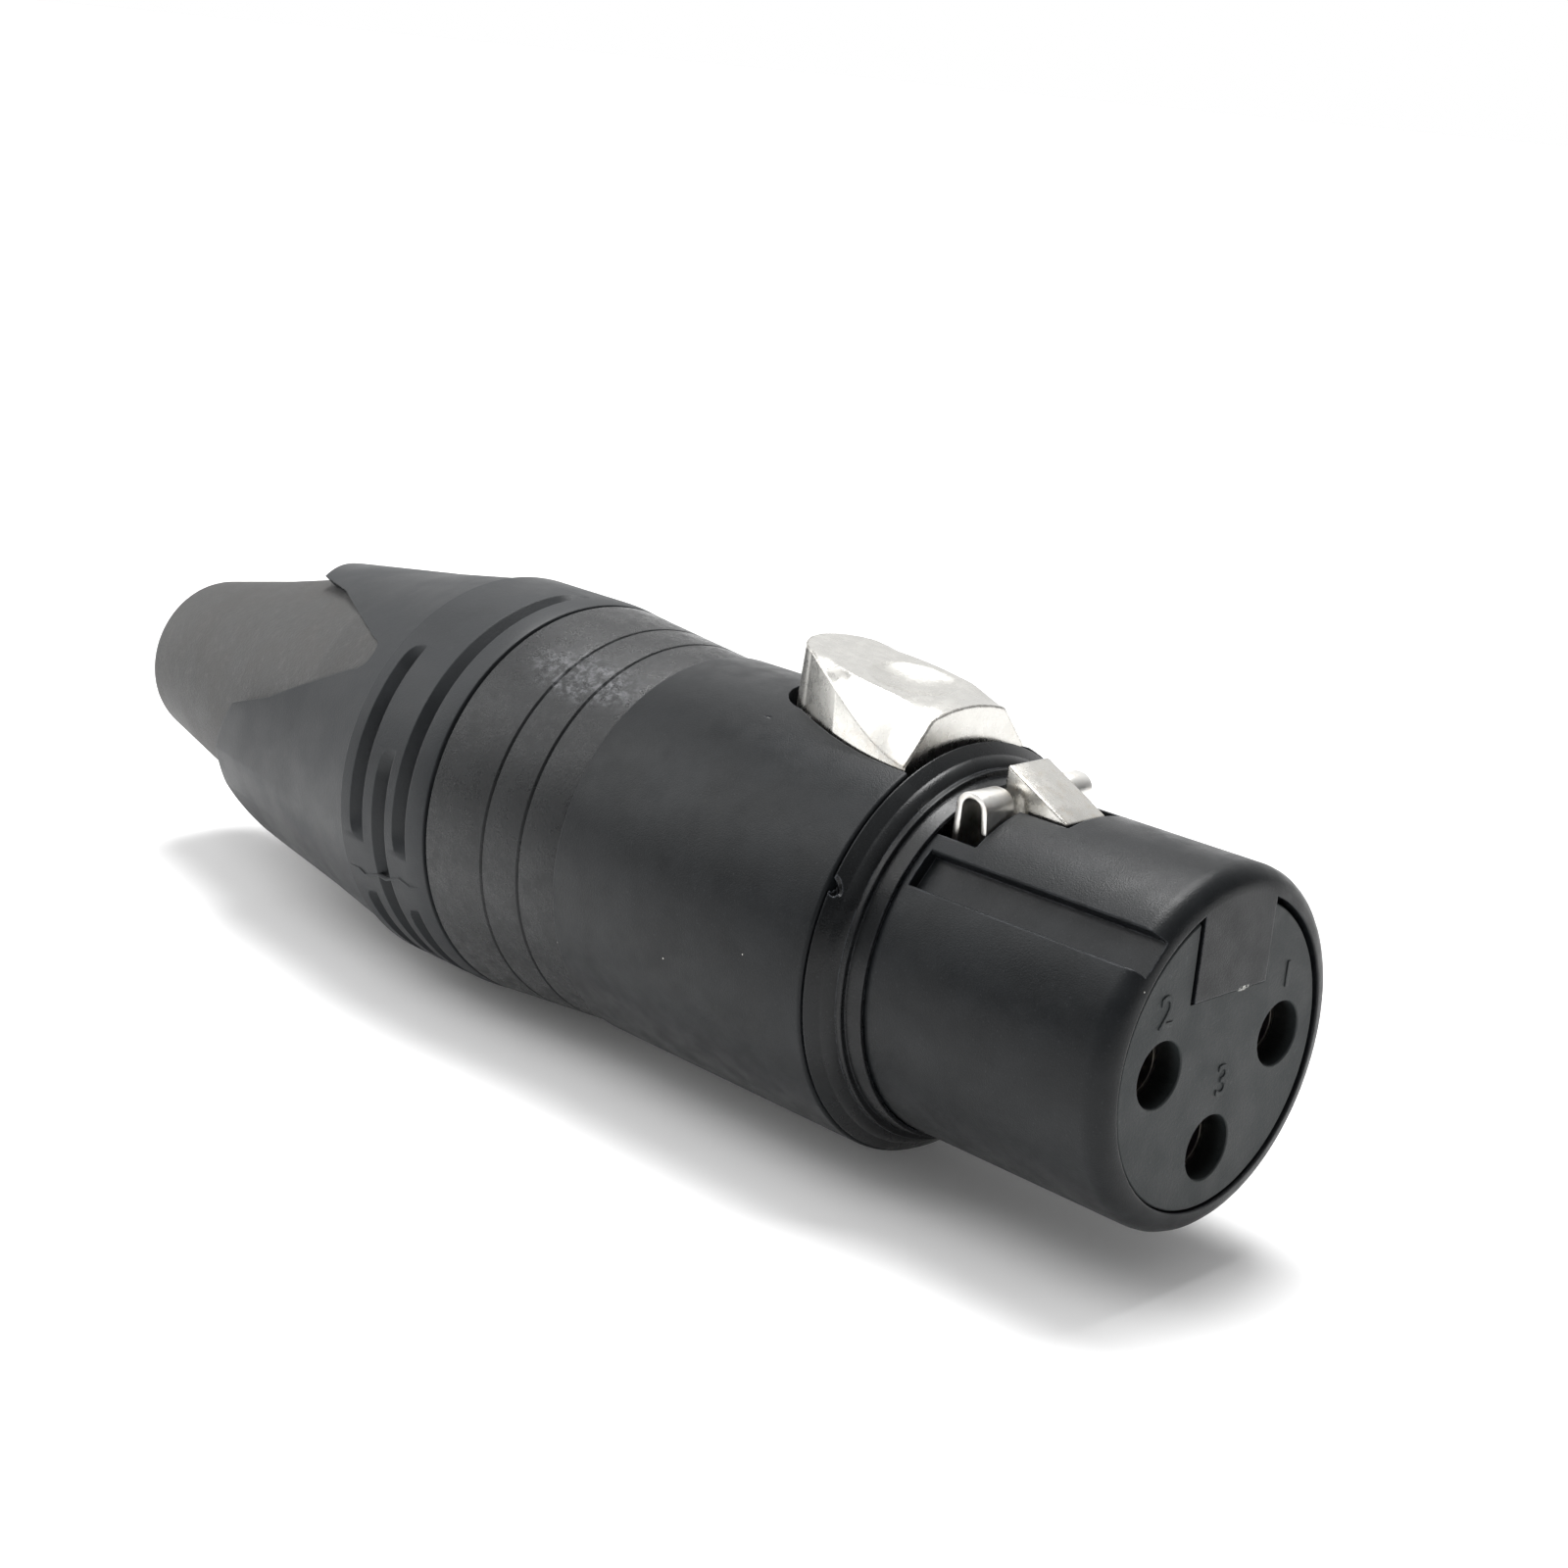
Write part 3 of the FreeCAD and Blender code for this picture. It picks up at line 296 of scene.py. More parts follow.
class Paint:
    """Builds one material's nodes, with object coordinates counted in millimetres."""

    def __init__(self, name, shine=0.5):
        self.material = bpy.data.materials.new(name)
        self.material.use_nodes = True
        self.tree = self.material.node_tree
        self.shader = self.tree.nodes["Principled BSDF"]
        self.shader.inputs["Specular IOR Level"].default_value = shine
        scale = self.node("ShaderNodeVectorMath", operation="SCALE")
        scale.inputs["Scale"].default_value = 1.0 / MM
        self.link(self.node("ShaderNodeTexCoord").outputs["Object"], scale.inputs[0])
        self.where = scale.outputs[0]

    def node(self, kind, **values):
        return new_node(self.tree, kind, **values)

    def link(self, source, target):
        self.tree.links.new(source, target)

    def band(self, source, low, high, to_low=0.0, to_high=1.0):
        return new_band(self.tree, source, low, high, to_low, to_high)

    def math(self, operation, first, second):
        return new_math(self.tree, operation, first, second)

    def share(self, mask, part):
        """A mask taken times a number or another mask."""
        return self.math("MULTIPLY", mask, part)

    def noise(self, scale, detail=3.0, roughness=0.55):
        made = self.node("ShaderNodeTexNoise")
        made.inputs["Scale"].default_value = scale
        made.inputs["Detail"].default_value = detail
        made.inputs["Roughness"].default_value = roughness
        self.link(self.where, made.inputs["Vector"])
        return made.outputs["Fac"]

    def near(self, centre, reach):
        """A mask round a point, 1 close to it and 0 past its reach in x, y and z."""
        apart = self.node("ShaderNodeVectorMath", operation="SUBTRACT")
        self.link(self.where, apart.inputs[0])
        apart.inputs[1].default_value = [value / MM for value in centre]
        shrunk = self.node("ShaderNodeVectorMath", operation="DIVIDE")
        self.link(apart.outputs[0], shrunk.inputs[0])
        shrunk.inputs[1].default_value = reach
        length = self.node("ShaderNodeVectorMath", operation="LENGTH")
        self.link(shrunk.outputs[0], length.inputs[0])
        return self.band(length.outputs["Value"], NEAR_CORE, 1.0, 1.0, 0.0)

    def axis(self, name):
        """One object coordinate, in millimetres."""
        apart = self.node("ShaderNodeSeparateXYZ")
        self.link(self.where, apart.inputs[0])
        return apart.outputs[name]

    def depth(self):
        """Distance behind the mating face, in millimetres."""
        return self.math("SUBTRACT", FACE_X, self.axis("X"))

    def height(self):
        """Height above the connector's axis, in millimetres."""
        return self.math("SUBTRACT", self.axis("Z"), AXIS_Z)

    def flecks(self, base):
        """Pale flakes along the lower edge of the key tab."""
        close = self.near(spot(0.0, *FLECK_PLACE), FLECK_REACH)
        flakes = self.band(self.noise(4.2, 4.0, 0.7), 0.5, 0.56)
        return self.mix(self.share(flakes, close), base, (0.62, 0.62, 0.58))

    def edges(self, radius):
        """A mask that is 1 close to a sharp edge and 0 on a smooth face."""
        soft = self.node("ShaderNodeBevel", samples=6)
        soft.inputs["Radius"].default_value = radius * MM
        plain = self.node("ShaderNodeNewGeometry")
        match = self.node("ShaderNodeVectorMath", operation="DOT_PRODUCT")
        self.link(soft.outputs[0], match.inputs[0])
        self.link(plain.outputs["Normal"], match.inputs[1])
        return self.band(match.outputs["Value"], 0.9, 0.985, 1.0, 0.0)

    def mix(self, factor, low, high):
        """A colour between two, each a tuple or a socket."""
        made = self.node("ShaderNodeMix", data_type="RGBA")
        for name, value in (("A", low), ("B", high)):
            socket = [item for item in made.inputs if item.name == name and item.type == "RGBA"][0]
            if isinstance(value, tuple):
                socket.default_value = (*value, 1.0)
            else:
                self.link(value, socket)
        self.link(factor, made.inputs["Factor"])
        return [item for item in made.outputs if item.type == "RGBA"][0]

    def specks(self, density, radius, chance):
        """Small round dust specks: a mask that is 1 on a speck."""
        cells = self.node("ShaderNodeTexVoronoi")
        cells.inputs["Scale"].default_value = density
        cells.inputs["Randomness"].default_value = 1.0
        self.link(self.where, cells.inputs["Vector"])
        spread = self.node("ShaderNodeSeparateColor")
        self.link(cells.outputs["Color"], spread.inputs[0])
        size = self.share(spread.outputs[1], radius * density)
        inside = self.math("LESS_THAN", cells.outputs["Distance"], size)
        chosen = self.math("LESS_THAN", spread.outputs[0], chance)
        return self.share(inside, chosen)

    def bump(self, height, distance, strength=1.0, edge=0.0):
        """Surface relief, with sharp edges that look rounded by an edge radius."""
        made = self.node("ShaderNodeBump")
        made.inputs["Distance"].default_value = distance * MM
        made.inputs["Strength"].default_value = strength
        self.link(height, made.inputs["Height"])
        if edge > 0.0:
            soft = self.node("ShaderNodeBevel", samples=4)
            soft.inputs["Radius"].default_value = edge * MM
            self.link(soft.outputs[0], made.inputs["Normal"])
        self.link(made.outputs[0], self.shader.inputs["Normal"])

    def color(self, source):
        self.link(source, self.shader.inputs["Base Color"])

    def roughness(self, source):
        self.link(source, self.shader.inputs["Roughness"])


def coated_black(name, dark, light, rough, grain, edge, shine):
    """Black coating: satin, with faint clouds, a fine speckle, pale edges that are partly scuffed
    paint and partly a painted edge highlight, and dust specks.
    """
    paint = Paint(name, shine)
    clouds = paint.noise(0.35, 4.0)
    base = paint.mix(paint.band(clouds, 0.35, 0.7), dark, light)
    grains = paint.band(paint.noise(9.0, 2.0), 0.62, 0.75)
    pale = tuple(min(1.0, channel * 1.5 + 0.01) for channel in light)
    base = paint.mix(paint.share(grains, 0.5), base, pale)
    # Pale bluish edges: partly scuffed paint, partly a painted highlight along the rounded edges.
    patch_noise = paint.band(paint.noise(1.3, 4.0, 0.7), 0.35, 0.6)
    edge_wear_and_highlight = paint.share(patch_noise, paint.edges(0.1))
    base = paint.mix(paint.share(edge_wear_and_highlight, 0.6), base, (0.085, 0.092, 0.105))
    base = paint.mix(paint.specks(0.55, 0.045, 0.4), base, (0.55, 0.55, 0.52))
    paint.color(paint.flecks(base))
    paint.roughness(paint.band(paint.noise(0.8, 5.0), 0.3, 0.7, rough - 0.05, rough + 0.07))
    paint.bump(paint.noise(14.0, 3.0), grain, 1.0, edge)
    return paint.material


def insert_plastic():
    """Matte moulded plastic with a fine spark texture, pale specks and painted shade that blackens
    the bores and all else deeper behind the face.
    """
    paint = Paint("insert_plastic", shine=0.38)
    clouds = paint.noise(0.6, 3.0)
    base = paint.mix(
        paint.band(clouds, 0.3, 0.7), (0.013, 0.0165, 0.0172), (0.019, 0.0235, 0.0245))
    spots = paint.band(paint.noise(3.4, 4.0, 0.7), 0.6, 0.72)
    base = paint.mix(paint.share(spots, 0.4), base, (0.055, 0.066, 0.067))
    base = paint.mix(paint.specks(1.1, 0.05, 0.35), base, (0.30, 0.31, 0.29))
    # Painted shade: the insert fades to near black with depth behind the mating face, as in the bores
    # and notch.
    deep = paint.band(paint.depth(), 0.12, 0.75)
    paint.color(paint.flecks(paint.mix(deep, base, (0.001, 0.0012, 0.0012))))
    paint.roughness(paint.band(clouds, 0.3, 0.7, 0.5, 0.62))
    paint.bump(paint.noise(8.0, 4.0, 0.65), 0.02, 1.0, 0.06)
    return paint.material


def plated_metal(name, colour, rough, pits=0.1, edge=0.05, lumps=0.01):
    """Plated metal: faint clouds, a patchy painted brownish shade low down, chipped edges and tiny
    pits.
    """
    paint = Paint(name)
    darker = tuple(channel * 0.94 for channel in colour)
    base = paint.mix(paint.band(paint.noise(0.9, 4.0), 0.35, 0.7), darker, colour)
    # Painted shade: patchy brownish darkening below about 10 mm above the axis, on the lower sides
    # that lie in shadow.
    low = paint.band(paint.height(), 8.6, 10.2, 1.0, 0.0)
    painted_brown_shade = paint.share(paint.band(paint.noise(1.7, 5.0, 0.65), 0.45, 0.75), low)
    base = paint.mix(paint.share(painted_brown_shade, 0.5), base, (0.50, 0.43, 0.34))
    chips = paint.band(paint.noise(3.6, 5.0, 0.75), 0.46, 0.54)
    pit = paint.band(paint.noise(6.5, 5.0, 0.7), 0.68, 0.74)
    wear_and_highlight = paint.math("MAXIMUM", paint.share(chips, paint.edges(0.26)), paint.share(pit, 0.25))
    paint.color(paint.mix(paint.share(wear_and_highlight, pits), base, (0.13, 0.11, 0.09)))
    paint.roughness(paint.band(paint.noise(2.0, 4.0), 0.3, 0.7, rough - 0.02, rough + 0.04))
    paint.shader.inputs["Metallic"].default_value = 1.0
    paint.bump(paint.noise(3.0, 5.0, 0.6), lumps, 0.6, edge)
    return paint.material


def rubber():
    """Brownish grey rubber: mottled and matte, with a slight bloom."""
    paint = Paint("boot_rubber", shine=0.38)
    clouds = paint.noise(0.28, 5.0, 0.6)
    base = paint.mix(
        paint.band(clouds, 0.35, 0.68), (0.0185, 0.0185, 0.018), (0.030, 0.0285, 0.027))
    mottle = paint.band(paint.noise(2.2, 5.0, 0.7), 0.5, 0.72)
    base = paint.mix(paint.share(mottle, 0.4), base, (0.066, 0.063, 0.061))
    paint.color(paint.mix(paint.specks(0.7, 0.05, 0.35), base, (0.3, 0.29, 0.27)))
    paint.roughness(paint.band(clouds, 0.3, 0.7, 0.62, 0.78))
    paint.shader.inputs["Sheen Weight"].default_value = 0.12
    paint.bump(paint.noise(7.0, 4.0, 0.65), 0.03)
    return paint.material


def boot_plastic():
    """Dark slate moulded plastic, semi-matte with faint flow clouds and scuffs."""
    paint = Paint("boot_plastic", shine=0.32)
    clouds = paint.noise(0.3, 4.0)
    base = paint.mix(
        paint.band(clouds, 0.35, 0.7), (0.0095, 0.0112, 0.013), (0.0142, 0.0162, 0.0185))
    scuffs = paint.band(paint.noise(1.6, 6.0, 0.75), 0.58, 0.75)
    base = paint.mix(paint.share(scuffs, 0.22), base, (0.055, 0.058, 0.06))
    paint.color(paint.mix(paint.specks(0.6, 0.05, 0.4), base, (0.42, 0.42, 0.4)))
    paint.roughness(paint.band(clouds, 0.3, 0.7, 0.42, 0.55))
    paint.bump(paint.noise(10.0, 3.0), 0.012, 1.0, 0.1)
    return paint.material


def ring_gloss():
    """Glossier black ring with a painted highlight: a mottled pale patch on its upper flank."""
    paint = Paint("marking_gloss", shine=0.32)
    base = paint.mix(
        paint.band(paint.noise(0.5, 4.0), 0.35, 0.7),
        (0.005, 0.0058, 0.0066), (0.0082, 0.0092, 0.0102))
    # Painted highlight: pale mottling round the patch's place stands in for a reflection on the ring.
    patch_noise = paint.band(paint.noise(2.6, 6.0, 0.75), 0.42, 0.66)
    wear_and_highlight = paint.near(place(*HIGHLIGHT_PLACE), HIGHLIGHT_REACH)
    base = paint.mix(paint.share(patch_noise, wear_and_highlight), base, (0.10, 0.102, 0.108))
    paint.color(paint.mix(paint.specks(0.6, 0.045, 0.35), base, (0.5, 0.5, 0.48)))
    paint.roughness(paint.band(paint.noise(1.1, 6.0, 0.75), 0.42, 0.62, 0.26, 0.42))
    paint.bump(paint.noise(6.0, 6.0, 0.8), 0.03, 0.8, 0.04)
    return paint.material


def plain_plastic(name, dark, light, rough):
    """Moulded plastic of an inner piece."""
    paint = Paint(name)
    paint.color(paint.mix(paint.band(paint.noise(0.7, 3.0), 0.35, 0.7), dark, light))
    paint.roughness(paint.band(paint.noise(2.0, 3.0), 0.3, 0.7, rough - 0.05, rough + 0.05))
    paint.bump(paint.noise(9.0, 3.0), 0.01)
    return paint.material


def assign(piece, material):
    """Give the whole piece one material."""
    piece.data.materials.clear()
    piece.data.materials.append(material)


def finish_piece(piece, body, material, slot, *nodes):
    """Material, body and replaced nodes of a modelled piece."""
    assign(piece, material)
    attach(piece, body)
    if nodes:
        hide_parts(*nodes)


# Housing

# How far a cutting tool reaches past what it cuts, and the room round a seated piece.
PAST = 1.0
SEAT_GAP = 0.02
BARREL = 7.9
BARREL_ROUND = 1.0
BORE = 6.8
BORE_ROUND = 0.06
SHOULDER = 14.7
HOUSING = 9.55
HOUSING_FRONT_ROUND = 0.14
HOUSING_BACK = 30.7
HOUSING_BACK_ROUND = 0.1
SPIGOT = 8.8
MARKING_BACK = 39.5
TAIL = 8.0
TAIL_BACK = 47.0
STEP = 27.0
REAR_BORE = 7.2
KEY_HALF = 2.45
KEY_FLOOR = 2.7
KEY_DEPTH = 6.3
KEY_ROOT = BORE + 0.1
KEYWAY_ANGLE = 46.5
KEYWAY_HALF = 0.85
# The keyway's softened edge, as steps outwards and down from the barrel's surface.
KEYWAY_EDGE = ((0.0, 0.2), (0.05, 0.1), (0.16, 0.03), (0.22, -PAST))
KEYWAY_FLOOR = 7.3
KEYWAY_BACK = 12.15
TAB_FRONT = 15.05
TAB_FRONT_HALF = 4.0
TAB_WAIST = 22.8
TAB_WAIST_HALF = 2.28
TAB_END = 24.9
TAB_SIDE = 19.5
TAB_SIDE_STEPS = 14
TAB_END_STEPS = 10
WINDOW_GAP = 0.16
WINDOW_OVERLAP = 0.02
WINDOW_FLOOR = 0.5
WINDOW_TOP = 14.0
SLOT_GAP = 0.25
SLOT_FLOOR = 2.0
SLOT_TOP = 12.0
HOOK_FRONT = 8.0
HOOK_BACK = 11.6
HOOK_HALF = 1.5
DECK_FRONT = 10.35
DECK_HALF = 4.4
DECK_HEIGHT = 5.0
DECK_OVERLAP = 0.01
CHANNEL_HALF = 2.05
CHANNEL_FLOOR = 2.65
PIVOT = (23.6, 8.2)
PIN_RADIUS = 0.6
PIN_HALF = 3.7
PIN_POINTS = 32


def window_outline():
    """The latch's window seen from above, as (station, side): the tab's outline with a gap."""
    front = SHOULDER - WINDOW_OVERLAP
    front_half = TAB_FRONT_HALF + WINDOW_GAP
    waist_half = TAB_WAIST_HALF + WINDOW_GAP
    end = TAB_END + WINDOW_GAP
    depth = end - TAB_WAIST
    round_end = (depth * depth + waist_half * waist_half) / (2 * depth)
    start = (front, -front_half)
    points = [start]
    for corner, radius, steps in (
        ((TAB_WAIST, -waist_half), TAB_SIDE, TAB_SIDE_STEPS),
        ((end, 0.0), round_end, TAB_END_STEPS),
        ((TAB_WAIST, waist_half), round_end, TAB_END_STEPS),
        ((front, front_half), TAB_SIDE, TAB_SIDE_STEPS),
    ):
        points += shallow_arc(start, corner, radius, steps)
        start = corner
    return points


def make_key():
    """The key tab that stands in the insert's notch, rooted in the casting."""
    half = math.asin(KEY_HALF / KEY_ROOT)
    top = [(KEY_ROOT * math.sin(half * step), KEY_ROOT * math.cos(half * step))
           for step in (-1.0, -0.5, 0.0, 0.5, 1.0)]
    return bar("key_tool", [(-KEY_HALF, KEY_FLOOR), *top, (KEY_HALF, KEY_FLOOR)], 0.0, KEY_DEPTH)


def make_keyway():
    """The groove along the barrel, with softened edges."""
    right = [(KEYWAY_HALF, KEYWAY_FLOOR)]
    right += [(KEYWAY_HALF + outwards, BARREL - down) for outwards, down in KEYWAY_EDGE]
    left = [(-side, height) for side, height in reversed(right)]
    keyway = bar("keyway_tool", right + left, -PAST, KEYWAY_BACK)
    turn_about_axis(keyway, KEYWAY_ANGLE)
    return keyway


def make_housing(material):
    """The casting: barrel, housing, spigot and tail, with its slots, window and key tab."""
    casting = lathe("housing_casting", [
        (0.0, BORE, BORE_ROUND),
        (0.0, BARREL, BARREL_ROUND),
        (SHOULDER, BARREL),
        (SHOULDER, HOUSING, HOUSING_FRONT_ROUND),
        (HOUSING_BACK, HOUSING, HOUSING_BACK_ROUND),
        (HOUSING_BACK, SPIGOT),
        (MARKING_BACK, SPIGOT),
        (MARKING_BACK, TAIL),
        (TAIL_BACK, TAIL),
        (TAIL_BACK, REAR_BORE),
        (STEP, REAR_BORE),
        (STEP, BORE),
    ])
    combine(casting, make_keyway())
    hook_slot = box_plan(HOOK_FRONT - SLOT_GAP, DECK_FRONT + SLOT_GAP, HOOK_HALF + SLOT_GAP)
    combine(casting, prism("hook_slot_tool", hook_slot, SLOT_FLOOR, SLOT_TOP))
    deck = box_plan(DECK_FRONT, SHOULDER + DECK_OVERLAP, DECK_HALF)
    combine(casting, prism("deck_tool", deck, WINDOW_FLOOR, BARREL + RING_BORE_GAP))
    combine(casting, prism("window_tool", window_outline(), WINDOW_FLOOR, WINDOW_TOP))
    hole = circle(*PIVOT, PIN_RADIUS + SEAT_GAP, PIN_POINTS)
    reach = PIN_HALF + SEAT_GAP
    combine(casting, side_prism("pin_hole_tool", hole, -reach, reach))
    combine(casting, make_key(), "UNION")
    smooth(casting)
    finish_piece(casting, "housing", material, "shell_black", "shell")


# Rings

RING_SEAM = 0.06
RING_BORE_GAP = 0.05
RING_RADIUS = 9.5
RING_ROUND = 0.06
BEVEL_END = (14.09, 8.95)
BEVEL_ROUND = 0.1
STEP_END = (13.58, 8.5)
STEP_RADIUS = 0.88
STEP_POINTS = 8
STEP_ROUND = 0.05
LIP_BACK = 13.3
LIP_BACK_RADIUS = 8.22
LIP_FRONT = 12.5
LIP_FRONT_RADIUS = 8.12
LIP_ROUND = 0.04
# The dent, as (station, angle, radius), and the half sizes of what is cut away.
CHIP = (14.45, 62.4, 9.3)
CHIP_SIZES = (0.34, 0.3, 0.48)
CHIP_LUMPS = 0.18
MARKING_FRONT_RADIUS = 9.35
MARKING_BACK_RADIUS = 10.15
LINES = (33.2, 35.6)
LINE_HALF = 0.1
LINE_DEPTH = 0.12
LINE_ROUND = 0.02
SEAM_HALF = 0.13
SEAM_DEPTH = 0.5
SEAM_ROUND = 0.05


def make_chip():
    """A rough little lump that leaves a dent where it is cut away."""
    where = place(*CHIP)
    work = bmesh.new()
    bmesh.ops.create_icosphere(work, subdivisions=3, radius=1.0)
    for vertex in work.verts:
        swell = 1.0 + CHIP_LUMPS * math.sin(vertex.co.x * 7.0 + vertex.co.z * 5.0)
        reach = Vector(vertex.co[axis] * CHIP_SIZES[axis] * MM * swell for axis in range(3))
        vertex.co = reach + where
    mesh = bpy.data.meshes.new("ring_chip")
    work.to_mesh(mesh)
    work.free()
    return add_object("ring_chip", mesh)


def make_shoulder_ring(material):
    """Ring with a bevel, a rounded step and a lip round the barrel, dented on its flank."""
    bore = BARREL + RING_BORE_GAP
    ring = lathe("shoulder_ring_turned", [
        (SHOULDER - RING_SEAM, bore),
        (SHOULDER - RING_SEAM, RING_RADIUS, RING_ROUND),
        (*BEVEL_END, BEVEL_ROUND),
        *shallow_arc(BEVEL_END, STEP_END, STEP_RADIUS, STEP_POINTS),
        (LIP_BACK, STEP_END[1], STEP_ROUND),
        (LIP_BACK, LIP_BACK_RADIUS, LIP_ROUND),
        (LIP_FRONT, LIP_FRONT_RADIUS, LIP_ROUND),
        (LIP_FRONT, bore),
    ])
    combine(ring, make_chip())
    smooth(ring)
    finish_piece(ring, "housing", material, "ring_black", "shoulder_ring")


def marking_outside(station):
    """Radius of the flared ring at a station."""
    share = (station - HOUSING_BACK) / (MARKING_BACK - HOUSING_BACK)
    return MARKING_FRONT_RADIUS + share * (MARKING_BACK_RADIUS - MARKING_FRONT_RADIUS)


def make_marking_ring(material):
    """Flared ring with two fine turned lines and a bevelled seam at its rear."""
    corners = [
        (HOUSING_BACK, SPIGOT + SEAT_GAP),
        (HOUSING_BACK, MARKING_FRONT_RADIUS, SEAM_ROUND),
    ]
    for line in LINES:
        corners += [
            (line - LINE_HALF, marking_outside(line - LINE_HALF), LINE_ROUND),
            (line, marking_outside(line) - LINE_DEPTH),
            (line + LINE_HALF, marking_outside(line + LINE_HALF), LINE_ROUND),
        ]
    corners += [
        (MARKING_BACK - SEAM_HALF, MARKING_BACK_RADIUS, SEAM_ROUND),
        (MARKING_BACK, MARKING_BACK_RADIUS - SEAM_DEPTH),
        (MARKING_BACK, SPIGOT + SEAT_GAP),
    ]
    ring = lathe("marking_ring_turned", corners)
    smooth(ring)
    finish_piece(ring, "housing", material, "marking_black", "marking_ring")


# Boot

BOOT = 10.295
BOOT_BORE = 8.08
BELLY = 41.0
BELLY_DROP = 0.15
BELLY_STEPS = 6
THROAT = 47.6
PETAL_MID = 52.0
PETAL_MID_RADIUS = 9.25
PETAL_MID_ROUND = 20.0
PETAL_BACK = 61.0
PETAL_BACK_RADIUS = 8.05
PETAL_BACK_ROUND = 0.25
PETAL_WALL = 1.5
VALLEY_ANGLES = (49.0, 169.0, 289.0)
VALLEY_FRONT = 47.9
VALLEY_ROUND = 1.0
VALLEY_MID = 55.4
VALLEY_MID_HALF = 3.54
VALLEY_LOBE = 59.0
VALLEY_LOBE_HALF = 4.3
VALLEY_END_HALF = 6.6
VALLEY_TOP = 14.0
COLLAR_BACK = 46.2
COLLAR_STEP = 0.13
COLLAR_EDGE = 0.08
COLLAR_EDGE_ROUND = 0.05
COLLAR_FOOT = 0.02
COLLAR_FOOT_ROUND = 0.03
GRIP_DEPTH = 0.85
GRIP_WIDTH = 1.1
GRIP_FLAT = 0.25
GRIP_RUN_OUT = 1.7
GRIP_SKIM = 0.06
GRIP_RAMP_SKIM = 0.07
GRIP_ABOVE = 0.6
GRIP_COLUMNS = 72
PETAL_ANGLES = (109.0, 229.0)
# The rows of grip slots, as (front station, degrees of turn).
FRONT_ROW = (40.85, 107.0)
MIDDLE_ROW = (42.5, 77.0)
BACK_ROW = (44.3, 62.5)
BACK_ROW_SHIFT = 37.75
SLEEVE_BORE = 7.9
SLEEVE_SINK = 0.05
SLEEVE_MID_ROUND = 8.0
KNEE = 66.0
KNEE_RADIUS = 5.95
KNEE_ROUND = 12.0
END = 72.8
END_RADIUS = 4.55
END_ROUND = 0.7
CABLE = 3.6
CABLE_ROUND = 0.1
SLEEVE_THROAT = 54.0
# The moulding flash: its course as (station, degrees from its angle), then half width in
# degrees and rise of its run and of its ends.
FLASH_ANGLE = 110.0
FLASH_STEPS = (
    (46.0, 0.4), (45.1, 0.6), (44.7, 1.9), (43.6, -0.2),
    (42.9, 0.3), (41.7, -2.3), (40.9, -1.0), (39.8, -2.6),
)
FLASH_RUN = (0.7, 0.05)
FLASH_END = (0.2, 0.0)
FLASH_CREST = 0.4
FLASH_SINK = 0.12


def boot_outside(station):
    """Radius of the hard part of the boot at a station."""
    if station <= COLLAR_BACK:
        share = max(0.0, (BELLY - station) / (BELLY - MARKING_BACK))
        return BOOT - BELLY_DROP * share * share
    if station <= PETAL_MID:
        share = (station - COLLAR_BACK) / (PETAL_MID - COLLAR_BACK)
        return BOOT - COLLAR_STEP + share * (PETAL_MID_RADIUS - BOOT + COLLAR_STEP)
    share = (station - PETAL_MID) / (PETAL_BACK - PETAL_MID)
    return PETAL_MID_RADIUS + share * (PETAL_BACK_RADIUS - PETAL_MID_RADIUS)


def grip_cut(front, span, angle):
    """A wedge over part of a turn: steep at its front, a ramp behind, gone at its ends."""
    rings = []
    for column in range(GRIP_COLUMNS + 1):
        share = column / GRIP_COLUMNS
        turn = angle - span / 2 + span * share
        from_end = min(share, 1.0 - share) * math.radians(span) * BOOT
        deep = BOOT + GRIP_SKIM - (GRIP_DEPTH + GRIP_SKIM) * ease(from_end / GRIP_RUN_OUT)
        rings.append([
            place(front, turn, deep),
            place(front + GRIP_FLAT, turn, deep),
            place(front + GRIP_WIDTH, turn, BOOT + GRIP_RAMP_SKIM),
            place(front + GRIP_WIDTH, turn, BOOT + GRIP_ABOVE),
            place(front, turn, BOOT + GRIP_ABOVE),
        ])
    return loft("grip_tool", rings)


def valley_outline():
    """A valley between two petals, seen from outside, as (station, side)."""
    bottom = arc_points(VALLEY_FRONT + VALLEY_ROUND, 0.0, VALLEY_ROUND, 270.0, 90.0, 12)
    right = [
        (VALLEY_MID, VALLEY_MID_HALF),
        (VALLEY_LOBE, VALLEY_LOBE_HALF),
        (PETAL_BACK, VALLEY_END_HALF),
        (PETAL_BACK + PAST, VALLEY_END_HALF),
    ]
    left = [(station, -side) for station, side in reversed(right)]
    return bottom + right + left


